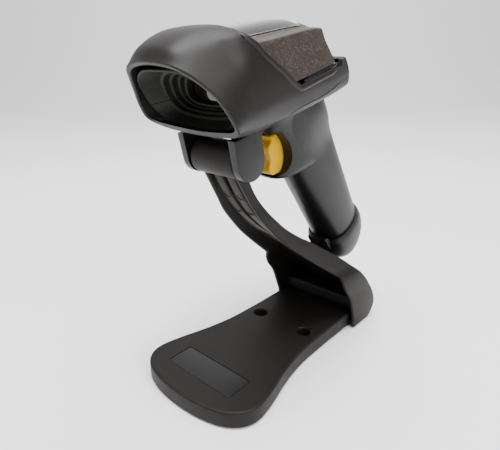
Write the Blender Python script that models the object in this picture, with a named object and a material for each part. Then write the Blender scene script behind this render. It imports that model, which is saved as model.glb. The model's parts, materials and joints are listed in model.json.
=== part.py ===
"""Handheld barcode scanner resting on its S-shaped desk stand.

The stand is a weighted base and a channel-shaped neck that ends in a hinge barrel. The scanner hangs on
that barrel by two lugs: a pistol grip in two halves, a soft nose boot, a hard top cover, the optical hood
and engine, the boards, and a sprung trigger with its switch.

Sizes are in millimetres and mesh_object turns them into metres. Stand pieces use x to the object's left,
y backwards from the joint between base and neck, z up from the table. Scanner pieces use x, then s forward
from the hinge axis, then h up from it, in the scanner's own pitched frame.
"""

import math

import bmesh
import bpy
from mathutils import Vector

MM = 0.001
GAP = 0.3  # clearance between pieces that touch

# Overall sizes
BASE_LENGTH = 132.0  # from the neck joint to the front edge
BASE_HALF_WIDTH = 41.6
HINGE_Y = -90.2
HINGE_HEIGHT = 134.5
PITCH = math.radians(12.0)  # nose-down angle at rest
ORIGIN_SHIFT = 45.77  # puts the origin under the middle of the whole object
HANDLE_LENGTH = 118.0  # from the hinge axis level to the foot seam, along the grip

# Base
BASE_TOP = 10.8
BASE_BOTTOM = 0.9
BASE_WALL = 2.2
BASE_EDGE = 0.8
BASE_REAR = 7.7
COVER_THICKNESS = 1.6
BALLAST_THICKNESS = 4.0
PAD_RADIUS = 6.0
PAD_DEPTH = 0.9  # depth of the recess that holds a pad
DESK_HOLE_RADIUS = 4.75
DESK_HOLE_SEAT = 4.6
DESK_BORE_RADIUS = 2.3
DESK_HOLE_X = 18.6
DESK_HOLE_Y = -38.6
BOSS_WALL = 1.6
TONGUE_HALF_WIDTH = 20.0
TONGUE_BOTTOM = 3.4
TONGUE_TOP = 8.4
TONGUE_LENGTH = 12.0
LABEL_HALF_WIDTH = 25.7
LABEL_LENGTH = 18.0
LABEL_DEPTH = 0.4

# Neck
NECK_WEB = 3.0
NECK_FLANGE = 2.8
NECK_BLOCK_TOP = 18.5
BARREL_RADIUS = 9.6
BARREL_HALF_LENGTH = 15.0
RIB_WIDTH = 6.4
RIB_GROOVE = 3.0

# Hinge
BOLT_RADIUS = 2.4
BOLT_HEAD_RADIUS = 4.4
BOLT_HEAD_LENGTH = 2.4
WASHER_THICKNESS = 0.5
WASHER_RADIUS = 6.5
NUT_HALF_FLATS = 4.0
NUT_LENGTH = 2.7
LUG_RADIUS = 9.9
LUG_THICKNESS = 4.6

# Scanner shells
BOOT_WALL = 2.6
COVER_WALL = 2.2
WINDOW_WALL = 1.6
WINDOW_HALF_WIDTH = 17.6
WINDOW_FRONT = -6.0
WINDOW_REAR = -56.5
STRIP_BOTTOM = 28.6
STRIP_TOP = 32.3
DECK_THICKNESS = 2.2
GRIP_WALL = 2.4
GRIP_HALF_WIDTH = 15.5
GRIP_FRONT = 32.6  # from the hinge axis, square to the grip
RAKE = math.radians(24.5)  # grip axis against the scanner's vertical
FLOOR_BOTTOM = 12.9
FLOOR_THICKNESS = 4.8
FLOOR_HALF_WIDTH = 21.0
FLANGE_THICKNESS = 2.0
FOOT_LENGTH = 25.5
FOOT_WALL = 2.6

# Trigger
TRIGGER_HALF_WIDTH = 6.9
PIN_RADIUS = 1.3
PIN_HALF_LENGTH = 10.5
PIN_S = -45.4
PIN_H = -0.4
TRIGGER_BACK = -50.2  # s of its rear face, which presses the switch
SWITCH_LENGTH = 8.0
SWITCH_HALF_HEIGHT = 5.0
PLUNGER_H = -14.0
PLUNGER_RADIUS = 1.2
PLUNGER_TRAVEL = 1.4

# Screws
SCREW_RADIUS = 1.3
SCREW_HEAD_RADIUS = 2.7
SCREW_HEAD_LENGTH = 1.4

GRIP_SCREWS = [(0.30, 60.0), (0.92, 52.5)]  # share of the handle length, and distance across the grip
FLOOR_SCREWS = [(11.0, -1.0), (17.4, -68.6)]  # x and s of each pair
HANDLE_SCREW_SEAT = 3.6  # depth below the grip's widest line

# Electronics
BOARD_THICKNESS = 1.6
BOARD_H = 22.6
BOARD_HALF_WIDTH = 19.5
WINDOW_PANE = 1.2


# ---------------------------------------------------------------- helpers


def finish(name, colour, roughness, metallic=0.0):
    """A plain material with the colour, roughness and metallic value of one real surface."""
    made = bpy.data.materials.new(name)
    made.use_nodes = True
    shader = made.node_tree.nodes["Principled BSDF"]
    shader.inputs["Base Color"].default_value = (*colour, 1.0)
    shader.inputs["Roughness"].default_value = roughness
    shader.inputs["Metallic"].default_value = metallic
    made.diffuse_color = (*colour, 1.0)
    return made


def anchor(name, place, parent=None, pitch=0.0):
    """An empty that pieces hang on; place is in millimetres."""
    empty = bpy.data.objects.new(name, None)
    bpy.context.scene.collection.objects.link(empty)
    empty.location = Vector(place) * MM
    empty.rotation_euler = (pitch, 0.0, 0.0)
    empty.parent = parent
    return empty


def mesh_object(name, points, faces, surface, parent, smooth=35.0):
    """One closed mesh from points in millimetres, with its faces turned outwards."""
    mesh = bpy.data.meshes.new(name)
    mesh.from_pydata([Vector(point) * MM for point in points], [], faces)
    shape = bmesh.new()
    shape.from_mesh(mesh)
    bmesh.ops.recalc_face_normals(shape, faces=shape.faces)
    shape.to_mesh(mesh)
    shape.free()
    mesh.shade_smooth()
    mesh.set_sharp_from_angle(angle=math.radians(smooth))
    made = bpy.data.objects.new(name, mesh)
    bpy.context.scene.collection.objects.link(made)
    made.parent = parent
    if surface is not None:
        mesh.materials.append(surface)
    return made


def band(first, second, count):
    """The quads between two rings of count points that start at the given indices."""
    return [
        (first + k, first + (k + 1) % count, second + (k + 1) % count, second + k) for k in range(count)
    ]


def loft(name, rings, surface, parent, smooth=35.0):
    """A solid through closed rings of equal length, with a fan of triangles at each end."""
    count = len(rings[0])
    points = [point for ring in rings for point in ring]
    faces = []
    for k in range(len(rings) - 1):
        faces += band(k * count, (k + 1) * count, count)
    for start, ring in ((0, rings[0]), ((len(rings) - 1) * count, rings[-1])):
        centre = sum((Vector(point) for point in ring), Vector()) / count
        points.append(tuple(centre))
        tip = len(points) - 1
        faces += [(start + k, start + (k + 1) % count, tip) for k in range(count)]
    return mesh_object(name, points, faces, surface, parent, smooth)


def closed_loft(name, rings, surface, parent, smooth=35.0):
    """A hollow ring-shaped solid: the rings follow its wall all the way round."""
    count = len(rings[0])
    points = [point for ring in rings for point in ring]
    faces = []
    for k in range(len(rings)):
        faces += band(k * count, ((k + 1) % len(rings)) * count, count)
    return mesh_object(name, points, faces, surface, parent, smooth)


def prism(name, outline, axis, low, high, surface, parent, smooth=35.0):
    """An outline extruded along an axis: "x" takes (y, z) points and "z" takes (x, y) points."""
    if axis == "x":
        rings = [[(level, first, second) for first, second in outline] for level in (low, high)]
    else:
        rings = [[(first, second, level) for first, second in outline] for level in (low, high)]
    count = len(outline)
    points = rings[0] + rings[1]
    faces = band(0, count, count)
    faces += [tuple(range(count)), tuple(range(count, 2 * count))]
    return mesh_object(name, points, faces, surface, parent, smooth)


def box(name, low, high, surface, parent):
    """A rectangular block between two corners."""
    outline = [(low[0], low[1]), (high[0], low[1]), (high[0], high[1]), (low[0], high[1])]
    return prism(name, outline, "z", low[2], high[2], surface, parent)


def turned(name, profile, centre, direction, surface, parent, sides=24, hollow=False):
    """A turned piece: profile holds (radius, distance along the axis) pairs."""
    turn = Vector(direction).to_track_quat("Z", "Y").to_matrix()
    rings = []
    for radius, along in profile:
        ring = []
        for k in range(sides):
            angle = 2.0 * math.pi * k / sides
            spot = Vector((radius * math.cos(angle), radius * math.sin(angle), along))
            ring.append(tuple(Vector(centre) + turn @ spot))
        rings.append(ring)
    maker = closed_loft if hollow else loft
    return maker(name, rings, surface, parent)


def rod(name, radius, start, end, surface, parent, sides=24):
    """A plain round bar between two points."""
    along = Vector(end) - Vector(start)
    return turned(name, [(radius, 0.0), (radius, along.length)], start, along, surface, parent, sides)


def bore(target, name, steps, start, direction, sides=24):
    """Cuts one stepped round hole; steps holds (radius, distance along the direction) pairs."""
    profile = []
    for k, (radius, along) in enumerate(steps):
        profile.append((radius, along))
        if k + 1 < len(steps) and steps[k + 1][0] != radius:
            profile.append((steps[k + 1][0], along))
    cut(target, turned(name, profile, start, direction, None, target.parent, sides))


def tool(obj):
    """Marks a cutter, which is no piece of the object."""
    obj.hide_render = True
    obj.display_type = "WIRE"
    return obj


def combine(target, other, operation):
    """A Boolean between two closed meshes, kept as a modifier."""
    step = target.modifiers.new(other.name, "BOOLEAN")
    step.operation = operation
    step.solver = "EXACT"
    step.object = tool(other)


def cut(target, other):
    combine(target, other, "DIFFERENCE")


def join(target, other):
    combine(target, other, "UNION")


def keep(target, other):
    combine(target, other, "INTERSECT")


def soften(obj, width, segments=1, angle=40.0):
    """Breaks the sharp edges of a piece."""
    step = obj.modifiers.new("broken_edges", "BEVEL")
    step.width = width * MM
    step.segments = segments
    step.limit_method = "ANGLE"
    step.angle_limit = math.radians(angle)


def between(a, b, share):
    return tuple(p + (q - p) * share for p, q in zip(a, b))


def catmull(before, a, b, after, t):
    """A point on the smooth curve from a to b."""
    return tuple(
        0.5 * (2 * q + (r - p) * t + (2 * p - 5 * q + 4 * r - s) * t * t + (3 * q - p - 3 * r + s) * t**3)
        for p, q, r, s in zip(before, a, b, after)
    )


def smooth_line(points, per_span, first=None, last=None):
    """A smooth curve through the points; first and last are the neighbours beyond its ends."""
    first = first or tuple(2 * a - b for a, b in zip(points[0], points[1]))
    last = last or tuple(2 * a - b for a, b in zip(points[-1], points[-2]))
    knots = [first, *points, last]
    line = []
    for k in range(1, len(knots) - 2):
        for step in range(per_span):
            line.append(catmull(*knots[k - 1 : k + 3], step / per_span))
    line.append(tuple(points[-1]))
    return line


def mirrored(half):
    """A closed ring from the half at +x, whose first and last points lie on the middle plane."""
    return list(half) + [(-point[0], *point[1:]) for point in half[-2:0:-1]]


def resampled(line, count):
    """The same line with count evenly spaced points."""
    lengths = [0.0]
    for a, b in zip(line, line[1:]):
        lengths.append(lengths[-1] + math.dist(a, b))
    picked = []
    span = 0
    for k in range(count):
        wanted = lengths[-1] * k / (count - 1)
        while span < len(line) - 2 and lengths[span + 1] < wanted:
            span += 1
        share = (wanted - lengths[span]) / max(lengths[span + 1] - lengths[span], 1e-9)
        picked.append(between(line[span], line[span + 1], share))
    return picked


def inset(outline, distance):
    """A closed (x, y) outline moved inwards by a distance."""
    count = len(outline)
    moved = []
    for k in range(count):
        before = Vector(outline[k - 1])
        after = Vector(outline[(k + 1) % count])
        along = (after - before).normalized()
        moved.append((outline[k][0] - along.y * distance, outline[k][1] + along.x * distance))
    return moved


def rounded_box_outline(half_x, low_y, high_y, radius, corner_steps=4):
    """A rectangle with round corners, in (x, y), anticlockwise."""
    corners = (
        (half_x - radius, high_y - radius, 0.0),
        (-half_x + radius, high_y - radius, 90.0),
        (-half_x + radius, low_y + radius, 180.0),
        (half_x - radius, low_y + radius, 270.0),
    )
    outline = []
    for x, y, start in corners:
        for step in range(corner_steps + 1):
            angle = math.radians(start + 90.0 * step / corner_steps)
            outline.append((x + radius * math.cos(angle), y + radius * math.sin(angle)))
    return outline


def superellipse(half_x, half_y, power, count):
    """Points of a rounded outline between an ellipse (power 2) and a rectangle."""
    outline = []
    for k in range(count):
        angle = 2.0 * math.pi * k / count
        c, s = math.cos(angle), math.sin(angle)
        outline.append(
            (
                half_x * math.copysign(abs(c) ** (2.0 / power), c),
                half_y * math.copysign(abs(s) ** (2.0 / power), s),
            )
        )
    return outline


def spot(x, s, h):
    """A scanner point: x, forward s and up h, as local coordinates under the hinge anchor."""
    return (x, -s, h)


def screw(name, start, direction, length, surface, parent):
    """A pan-head screw whose head starts at start and whose shank runs along direction."""
    shank = 0.6 * SCREW_HEAD_LENGTH
    profile = [
        (SCREW_HEAD_RADIUS * 0.8, 0.0),
        (SCREW_HEAD_RADIUS, SCREW_HEAD_LENGTH * 0.35),
        (SCREW_HEAD_RADIUS, SCREW_HEAD_LENGTH),
        (SCREW_RADIUS, SCREW_HEAD_LENGTH),
        (SCREW_RADIUS, length - shank),
        (SCREW_RADIUS * 0.4, length),
    ]
    made = turned(name, profile, start, direction, surface, parent, 16)
    along = Vector(direction).normalized()
    socket = turned(
        name + "_socket",
        [(0.9, -1.0), (0.9, SCREW_HEAD_LENGTH * 0.6)],
        Vector(start),
        along,
        None,
        parent,
        6,
    )
    cut(made, socket)
    return made


# ---------------------------------------------------------------- stand

# Half of the base outline, as shares of its half-width and length
BASE_SHAPE = [
    (0.0, 1.0), (0.385, 0.991), (0.70, 0.964), (0.88, 0.926), (0.975, 0.88), (1.0, 0.833),
    (0.98, 0.78), (0.928, 0.708), (0.837, 0.606), (0.774, 0.515), (0.725, 0.394), (0.708, 0.205),
    (0.708, 0.08),
]


def base_outline():
    """The base seen from above, anticlockwise: curved front and waist, square rear."""
    half = [(x * BASE_HALF_WIDTH, -y * BASE_LENGTH) for x, y in BASE_SHAPE]
    reflected = (-half[1][0], half[1][1])
    half = smooth_line(half, 2, first=reflected)
    half.append((half[-1][0], BASE_REAR))
    return half + [(-x, y) for x, y in reversed(half[1:])]


def at_level(outline, z):
    return [(x, y, z) for x, y in outline]


def base_screw_places():
    front = (0.78 * BASE_HALF_WIDTH, -0.85 * BASE_LENGTH)
    rear = (0.55 * BASE_HALF_WIDTH, -0.12 * BASE_LENGTH)
    return [(side * x, y) for x, y in (front, rear) for side in (1, -1)]


def pad_places():
    front = (0.50 * BASE_HALF_WIDTH, -0.89 * BASE_LENGTH)
    rear = (0.30 * BASE_HALF_WIDTH, -0.06 * BASE_LENGTH)
    return [(side * x, y) for x, y in (front, rear) for side in (1, -1)]


def make_base(stand, plastic):
    """The top shell of the base: open below, with bosses for its screws and for desk screws."""
    outline = base_outline()
    rings = [
        at_level(outline, BASE_BOTTOM),
        at_level(outline, BASE_TOP - BASE_EDGE),
        at_level(inset(outline, 0.3 * BASE_EDGE), BASE_TOP - 0.3 * BASE_EDGE),
        at_level(inset(outline, BASE_EDGE), BASE_TOP),
    ]
    shell = loft("base_shell", rings, plastic, stand, 25.0)
    inner = inset(outline, BASE_WALL)
    ceiling = BASE_TOP - BASE_WALL
    cut(shell, prism("base_cavity", inner, "z", -5.0, ceiling, None, stand))
    boss_floor = BASE_BOTTOM + COVER_THICKNESS + GAP
    for number, (x, y) in enumerate(base_screw_places()):
        radius = SCREW_RADIUS + GAP + BOSS_WALL
        post = rod(f"screw_boss_{number}", radius, (x, y, boss_floor), (x, y, ceiling + 0.5), None, stand, 16)
        join(shell, post)
        drill = rod(f"screw_drill_{number}", SCREW_RADIUS + GAP, (x, y, -1.0), (x, y, ceiling - 0.6), None, stand, 16)
        cut(shell, drill)
    for side in (1, -1):
        x = side * DESK_HOLE_X
        radius = DESK_HOLE_RADIUS + BOSS_WALL
        join(shell, rod(f"desk_boss_{side}", radius, (x, DESK_HOLE_Y, boss_floor), (x, DESK_HOLE_Y, ceiling + 0.5), None, stand))
        steps = [(DESK_BORE_RADIUS, -5.0), (DESK_BORE_RADIUS, DESK_HOLE_SEAT), (DESK_HOLE_RADIUS, 20.0)]
        bore(shell, f"desk_hole_{side}", steps, (x, DESK_HOLE_Y, 0.0), (0, 0, 1))
    tongue = box(
        "base_tongue",
        (-TONGUE_HALF_WIDTH, BASE_REAR - BASE_WALL - 1.0, TONGUE_BOTTOM),
        (TONGUE_HALF_WIDTH, BASE_REAR + TONGUE_LENGTH, TONGUE_TOP),
        None,
        stand,
    )
    join(shell, tongue)
    for x, y in neck_screw_places():
        cut(shell, rod(f"tongue_drill_{x:.0f}", SCREW_RADIUS + GAP, (x, y, 0.0), (x, y, TONGUE_TOP - 0.8), None, stand, 16))
    front = -0.886 * BASE_LENGTH
    recess = rounded_box_outline(LABEL_HALF_WIDTH, front, front + LABEL_LENGTH, 1.0, 2)
    cut(shell, prism("label_recess", recess, "z", BASE_TOP - LABEL_DEPTH, BASE_TOP + 2.0, None, stand))
    return shell


def make_base_underside(stand, plastic, steel, rubber, screw_steel):
    """The cover plate, its screws, the steel weight above it and the rubber pads below it."""
    outline = inset(base_outline(), BASE_WALL + GAP)
    top = BASE_BOTTOM + COVER_THICKNESS
    cover = prism("base_bottom_cover", outline, "z", BASE_BOTTOM, top, plastic, stand)
    for number, (x, y) in enumerate(base_screw_places()):
        seat = BASE_BOTTOM + 1.0
        steps = [(SCREW_HEAD_RADIUS + GAP, -1.0), (SCREW_HEAD_RADIUS + GAP, seat), (SCREW_RADIUS + GAP, 5.0)]
        bore(cover, f"cover_hole_{number}", steps, (x, y, 0.0), (0, 0, 1), 16)
        head = seat - GAP - SCREW_HEAD_LENGTH * 0.5
        made = turned(
            f"base_screw_{number + 1}",
            [
                (SCREW_HEAD_RADIUS, 0.0),
                (SCREW_HEAD_RADIUS, SCREW_HEAD_LENGTH * 0.5),
                (SCREW_RADIUS, SCREW_HEAD_LENGTH * 0.5),
                (SCREW_RADIUS, BASE_TOP - BASE_WALL - 1.4 - head),
            ],
            (x, y, head),
            (0, 0, 1),
            screw_steel,
            stand,
            16,
        )
        cut(made, turned(f"base_screw_recess_{number}", [(0.8, -1.0), (0.8, 0.35)], (x, y, head), (0, 0, 1), None, stand, 6))
    for side in (1, -1):
        x = side * DESK_HOLE_X
        cut(cover, rod(f"cover_desk_hole_{side}", DESK_BORE_RADIUS + GAP, (x, DESK_HOLE_Y, -1.0), (x, DESK_HOLE_Y, 5.0), None, stand))
    names = ("front_left", "front_right", "rear_left", "rear_right")
    for name, (x, y) in zip(names, pad_places()):
        cut(cover, rod("pad_seat_" + name, PAD_RADIUS + GAP, (x, y, -1.0), (x, y, BASE_BOTTOM + PAD_DEPTH), None, stand))
        profile = [
            (PAD_RADIUS - 0.5, 0.0),
            (PAD_RADIUS, 0.4),
            (PAD_RADIUS, BASE_BOTTOM + PAD_DEPTH - GAP),
        ]
        turned("rubber_pad_" + name, profile, (x, y, 0.0), (0, 0, 1), rubber, stand, 24)
    weight_outline = rounded_box_outline(0.62 * BASE_HALF_WIDTH, -0.90 * BASE_LENGTH, -0.42 * BASE_LENGTH, 6.0)
    low = top + GAP
    weight = prism("ballast_plate", weight_outline, "z", low, low + BALLAST_THICKNESS, steel, stand)
    soften(weight, 0.4)
    for number, (x, y) in enumerate(base_screw_places()[:2]):
        radius = SCREW_RADIUS + BOSS_WALL + 3 * GAP
        cut(weight, rod(f"weight_notch_{number}", radius, (x, y, 0.0), (x, y, 12.0), None, stand, 16))


# The neck's side view: front edge of its flanges (half-width, y, z) and the back of its web (y, z)
NECK_FRONT = [
    (13.0, -96.0, 131.0), (13.2, -91.3, 123.0), (13.5, -87.6, 116.5), (14.3, -82.6, 108.2),
    (15.8, -76.8, 99.1), (17.1, -68.9, 89.7), (19.4, -57.9, 78.6), (23.4, -42.0, 65.2),
    (29.3, -22.6, 50.2), (32.7, -17.4, 46.0), (34.0, -15.6, 40.5), (34.4, -12.8, 35.2),
    (34.4, -7.6, 28.3), (34.6, -4.4, 21.5), (34.4, -1.2, 12.7), (34.2, 0.4, 8.0), (34.0, 1.0, 0.9),
]
NECK_BACK = [
    (-85.0, 131.0), (-82.8, 122.0), (-78.8, 113.8), (-74.2, 107.3), (-66.9, 98.8), (-55.6, 88.2),
    (-44.1, 79.8), (-33.6, 73.4), (-18.6, 62.9), (-6.1, 54.2), (10.0, 40.2), (24.1, 23.4),
    (29.8, 11.4), (28.0, 4.8), (23.0, 0.9),
]
NECK_DRAWN_HEIGHT = 134.5
NECK_STATIONS = 26


def neck_level(z):
    """Heights above the base stretch with the hinge height."""
    if z <= NECK_BLOCK_TOP:
        return z
    share = (z - NECK_BLOCK_TOP) / (NECK_DRAWN_HEIGHT - NECK_BLOCK_TOP)
    return NECK_BLOCK_TOP + share * (HINGE_HEIGHT - NECK_BLOCK_TOP)


def neck_curves():
    """Front edge (half-width, y, z) and back line (y, z) with matching stations."""
    front = [(w, y, neck_level(z)) for w, y, z in NECK_FRONT]
    back = [(y, neck_level(z)) for y, z in NECK_BACK]
    front = resampled(smooth_line(front, 6), NECK_STATIONS)
    back = resampled(smooth_line(back, 6), NECK_STATIONS)
    return front, back


def neck_ring(half_width, front, back):
    (fy, fz), (by, bz) = front, back
    return [(half_width, fy, fz), (half_width, by, bz), (-half_width, by, bz), (-half_width, fy, fz)]


def neck_screw_places():
    return [(side * 0.6 * TONGUE_HALF_WIDTH, BASE_REAR + 0.6 * TONGUE_LENGTH) for side in (1, -1)]


def channel_rings():
    """The hollow of the channel: inside the flanges, in front of the web, above the neck's foot."""
    front, back = neck_curves()
    rings = []
    for k, ((w, fy, fz), (by, bz)) in enumerate(zip(front, back)):
        before, after = back[max(k - 1, 0)], back[min(k + 1, len(back) - 1)]
        ty, tz = after[0] - before[0], after[1] - before[1]
        size = math.hypot(ty, tz)
        inner = (by + NECK_WEB * tz / size, bz - NECK_WEB * ty / size)
        away = Vector((fy - by, fz - bz)).normalized() * 6.0
        if inner[1] < NECK_BLOCK_TOP:
            break
        rings.append(neck_ring(w - NECK_FLANGE, (fy + away.x, fz + away.y), inner))
    return rings


def make_neck(stand, plastic):
    """The S-shaped neck: one C-section moulding from the base to the hinge barrel."""
    front, back = neck_curves()
    rings = [neck_ring(w, (fy, fz), point) for (w, fy, fz), point in zip(front, back)]
    neck = loft("neck_frame", rings, plastic, stand, 50.0)
    soften(neck, 0.9, 1, 60.0)
    hollow = channel_rings()
    last = hollow[-1]
    w = last[0][0]
    hollow.append(neck_ring(w, (last[0][1], NECK_BLOCK_TOP), (min(last[1][1], 25.0), NECK_BLOCK_TOP)))
    cut(neck, loft("neck_channel", hollow, None, stand))
    slot = box("base_slot", (-w, -20.0, -1.0), (w, BASE_REAR + GAP, NECK_BLOCK_TOP + 1.0), None, stand)
    cut(neck, slot)
    pocket = box(
        "tongue_pocket",
        (-TONGUE_HALF_WIDTH - GAP, BASE_REAR - 1.0, TONGUE_BOTTOM - GAP),
        (TONGUE_HALF_WIDTH + GAP, BASE_REAR + TONGUE_LENGTH + GAP, TONGUE_TOP + GAP),
        None,
        stand,
    )
    cut(neck, pocket)
    for side in (1, -1):
        join(neck, make_rib(side, stand))
    profile = [
        (BARREL_RADIUS - 0.8, -BARREL_HALF_LENGTH),
        (BARREL_RADIUS, -BARREL_HALF_LENGTH + 0.8),
        (BARREL_RADIUS, BARREL_HALF_LENGTH - 0.8),
        (BARREL_RADIUS - 0.8, BARREL_HALF_LENGTH),
    ]
    axis = (0.0, HINGE_Y, HINGE_HEIGHT)
    join(neck, turned("hinge_barrel", profile, axis, (1, 0, 0), None, stand, 32))
    cut(neck, rod("barrel_bore", BOLT_RADIUS + GAP, (-20.0, axis[1], axis[2]), (20.0, axis[1], axis[2]), None, stand))
    for x, y in neck_screw_places():
        steps = [(SCREW_HEAD_RADIUS + GAP, -1.0), (SCREW_HEAD_RADIUS + GAP, 2.2), (SCREW_RADIUS + GAP, TONGUE_BOTTOM + 1.0)]
        bore(neck, f"neck_hole_{x:.0f}", steps, (x, y, 0.0), (0, 0, 1), 16)
    return neck


def make_rib(side, stand):
    """One of the two ribs on the web below the barrel."""
    front, back = neck_curves()
    inner = side * RIB_GROOVE / 2.0
    outer = side * (RIB_GROOVE / 2.0 + RIB_WIDTH)
    rings = []
    stations = int(0.46 * NECK_STATIONS)
    for k in range(stations):
        (w, fy, fz), (by, bz) = front[k], back[k]
        rise = 0.78 - 0.50 * (k / (stations - 1)) ** 1.5
        fy, fz = between((by, bz), (fy, fz), rise)
        by, bz = between((by, bz), front[k][1:], 0.12)
        edge = side * min(abs(outer), w - NECK_FLANGE + 0.8)
        rings.append([(inner, fy, fz), (edge, fy, fz), (edge, by, bz), (inner, by, bz)])
    return loft(f"web_rib_{side}", rings, None, stand, 50.0)


def make_neck_screws(stand, surface):
    for name, (x, y) in zip(("left", "right"), neck_screw_places()):
        screw(f"neck_screw_{name}", (x, y, 0.5), (0, 0, 1), TONGUE_TOP - 1.6, surface, stand)


def make_hinge(head, steel, nylon):
    """The hinge bolt, its nut held in the left lug, and a friction washer at each end of the barrel."""
    lug_inner = BARREL_HALF_LENGTH + 2 * GAP + WASHER_THICKNESS
    lug_outer = lug_inner + LUG_THICKNESS
    head_x = -(lug_outer - GAP)
    tip = lug_inner + NUT_LENGTH
    bolt = turned(
        "hinge_bolt",
        [
            (BOLT_HEAD_RADIUS * 0.85, 0.0),
            (BOLT_HEAD_RADIUS, 0.5),
            (BOLT_HEAD_RADIUS, BOLT_HEAD_LENGTH),
            (BOLT_RADIUS, BOLT_HEAD_LENGTH),
            (BOLT_RADIUS, tip - head_x),
        ],
        (head_x, 0, 0),
        (1, 0, 0),
        steel,
        head,
    )
    cut(bolt, turned("bolt_socket", [(1.7, -1.0), (1.7, 1.5)], (head_x, 0, 0), (1, 0, 0), None, head, 6))
    hexagon = NUT_HALF_FLATS / math.cos(math.radians(30.0))
    nut = turned(
        "hinge_nut",
        [(hexagon, 0.0), (hexagon, NUT_LENGTH)],
        (lug_inner + GAP, 0, 0),
        (1, 0, 0),
        steel,
        head,
        6,
    )
    cut(nut, rod("nut_thread", BOLT_RADIUS + GAP, (10, 0, 0), (30, 0, 0), None, head))
    for name, side in (("left", 1), ("right", -1)):
        start = side * (BARREL_HALF_LENGTH + GAP)
        profile = [
            (BOLT_RADIUS + GAP, 0.0),
            (WASHER_RADIUS, 0.0),
            (WASHER_RADIUS, WASHER_THICKNESS),
            (BOLT_RADIUS + GAP, WASHER_THICKNESS),
        ]
        turned("friction_washer_" + name, profile, (start, 0, 0), (side, 0, 0), nylon, head, 32, hollow=True)


# ---------------------------------------------------------------- scanner skin

# The nose and body skin: half rings from the top middle to the bottom middle, as (x, s, h), from the
# slanted rim at the front to the rear end
SKIN = [
    [(0, 33.5, 57), (12, 32.3, 55.6), (19.6, 30.2, 52.4), (25.0, 26.6, 47.0), (29.5, 23, 40),
     (32.6, 19.9, 31), (32.4, 17, 23.5), (26, 13, 18.4), (13, 11.2, 16.2), (0, 10.5, 15.5)],
    [(0, 27, 61.8), (12, 26, 60.8), (19.4, 23.6, 56.2), (25.4, 20, 49.0), (29.8, 16.5, 42.0),
     (32.2, 13.5, 32.5), (31.8, 10.5, 24), (26, 7, 17.2), (13, 5.5, 14.8), (0, 5, 14.3)],
    [(0, 14, 65.0), (13, 13.5, 64.0), (21.6, 12.5, 59.2), (26.6, 10, 51.4), (30.6, 7.5, 43.6),
     (31.8, 4.5, 33), (31.3, 2, 24), (26, -1, 16.5), (13, -2, 13.4), (0, -2, 12.9)],
    [(0, 0, 64.6), (14, 0, 63.8), (25.0, -0.5, 60.2), (28.9, -2, 54.0), (31.0, -4, 45),
     (31.8, -6, 33), (31.2, -8, 24), (26, -10, 16), (13, -11, 13), (0, -11, 12.8)],
    [(0, -30, 61.5), (14, -30, 60.5), (24.5, -30, 57), (29, -30, 52), (31.2, -30, 44),
     (31.6, -30, 33), (31, -30, 23.5), (27, -30, 15.5), (13, -30, 12.8), (0, -30, 12.8)],
    [(0, -58, 57), (13, -58, 56), (23, -58, 53), (28, -60, 48.5), (30.2, -61, 42),
     (31, -62, 32), (30.6, -62, 23), (27, -61, 15.5), (13, -60, 13), (0, -60, 13)],
    [(0, -70, 50), (12, -70, 49), (20, -70.5, 46.5), (25, -71.5, 43), (27.8, -73.5, 38),
     (29.2, -76.6, 31), (28.9, -79.0, 22.6), (26, -78.4, 15.8), (12, -75, 14), (0, -75, 14)],
]

# The boot's rear edge in side view (s, h), from above the lid down to the end of its tail
BOOT_EDGE = [
    (0.4, 75), (0.4, 66), (0, 64), (-0.8, 60.5), (-3.6, 57.3), (-7.0, 53.8), (-9.4, 49.6),
    (-17.9, 41.2), (-25.5, 33.4), (-31.4, 28.6), (-50, 29.0), (-69.4, 29.4), (-71.4, 32.6), (-90, 32.8),
]


def skin_rings(offset=0.0, around=2, along=3):
    """The skin as closed rings, moved inwards by offset along its own normals."""
    columns = []
    halves = [smooth_line(row, around, (-row[1][0], *row[1][1:]), (-row[-2][0], *row[-2][1:])) for row in SKIN]
    for k in range(len(halves[0])):
        columns.append(smooth_line([half[k] for half in halves], along))
    rings = [mirrored([column[row] for column in columns]) for row in range(len(columns[0]))]
    if offset == 0.0:
        return rings
    count = len(rings[0])
    moved = []
    for r, ring in enumerate(rings):
        before, after = rings[max(r - 1, 0)], rings[min(r + 1, len(rings) - 1)]
        new_ring = []
        for k, point in enumerate(ring):
            along_row = Vector(after[k]) - Vector(before[k])
            around_row = Vector(ring[(k + 1) % count]) - Vector(ring[k - 1])
            normal = along_row.cross(around_row).normalized()
            new_ring.append(tuple(Vector(point) - normal * offset))
        moved.append(new_ring)
    return moved


def placed(ring):
    return [spot(*point) for point in ring]


def skin_solid(name, offset, head, overshoot=0.0):
    """The skin as a closed solid; overshoot pushes an open front end through the rim."""
    rings = skin_rings(offset)
    if overshoot:
        ahead = [tuple(Vector(a) + (Vector(a) - Vector(b)).normalized() * overshoot) for a, b in zip(rings[0], rings[1])]
        rings = [ahead] + rings
    rear = rings[-1]
    middle = sum((Vector(point) for point in rear), Vector()) / len(rear)
    if offset:
        rings[-1] = [tuple(Vector(point) + Vector((0, offset, 0))) for point in rear]
        rear = rings[-1]
    rings.append([tuple(middle + (Vector(point) - middle) * 0.72 - Vector((0, 2.2 - 2 * offset, 0))) for point in rear])
    return loft(name, [placed(ring) for ring in rings], None, head, 30.0)


def side_prism(name, outline, head, half_width=60.0):
    """A cutter from a side view (s, h) outline."""
    return prism(name, [(-s, h) for s, h in outline], "x", -half_width, half_width, None, head)


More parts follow.
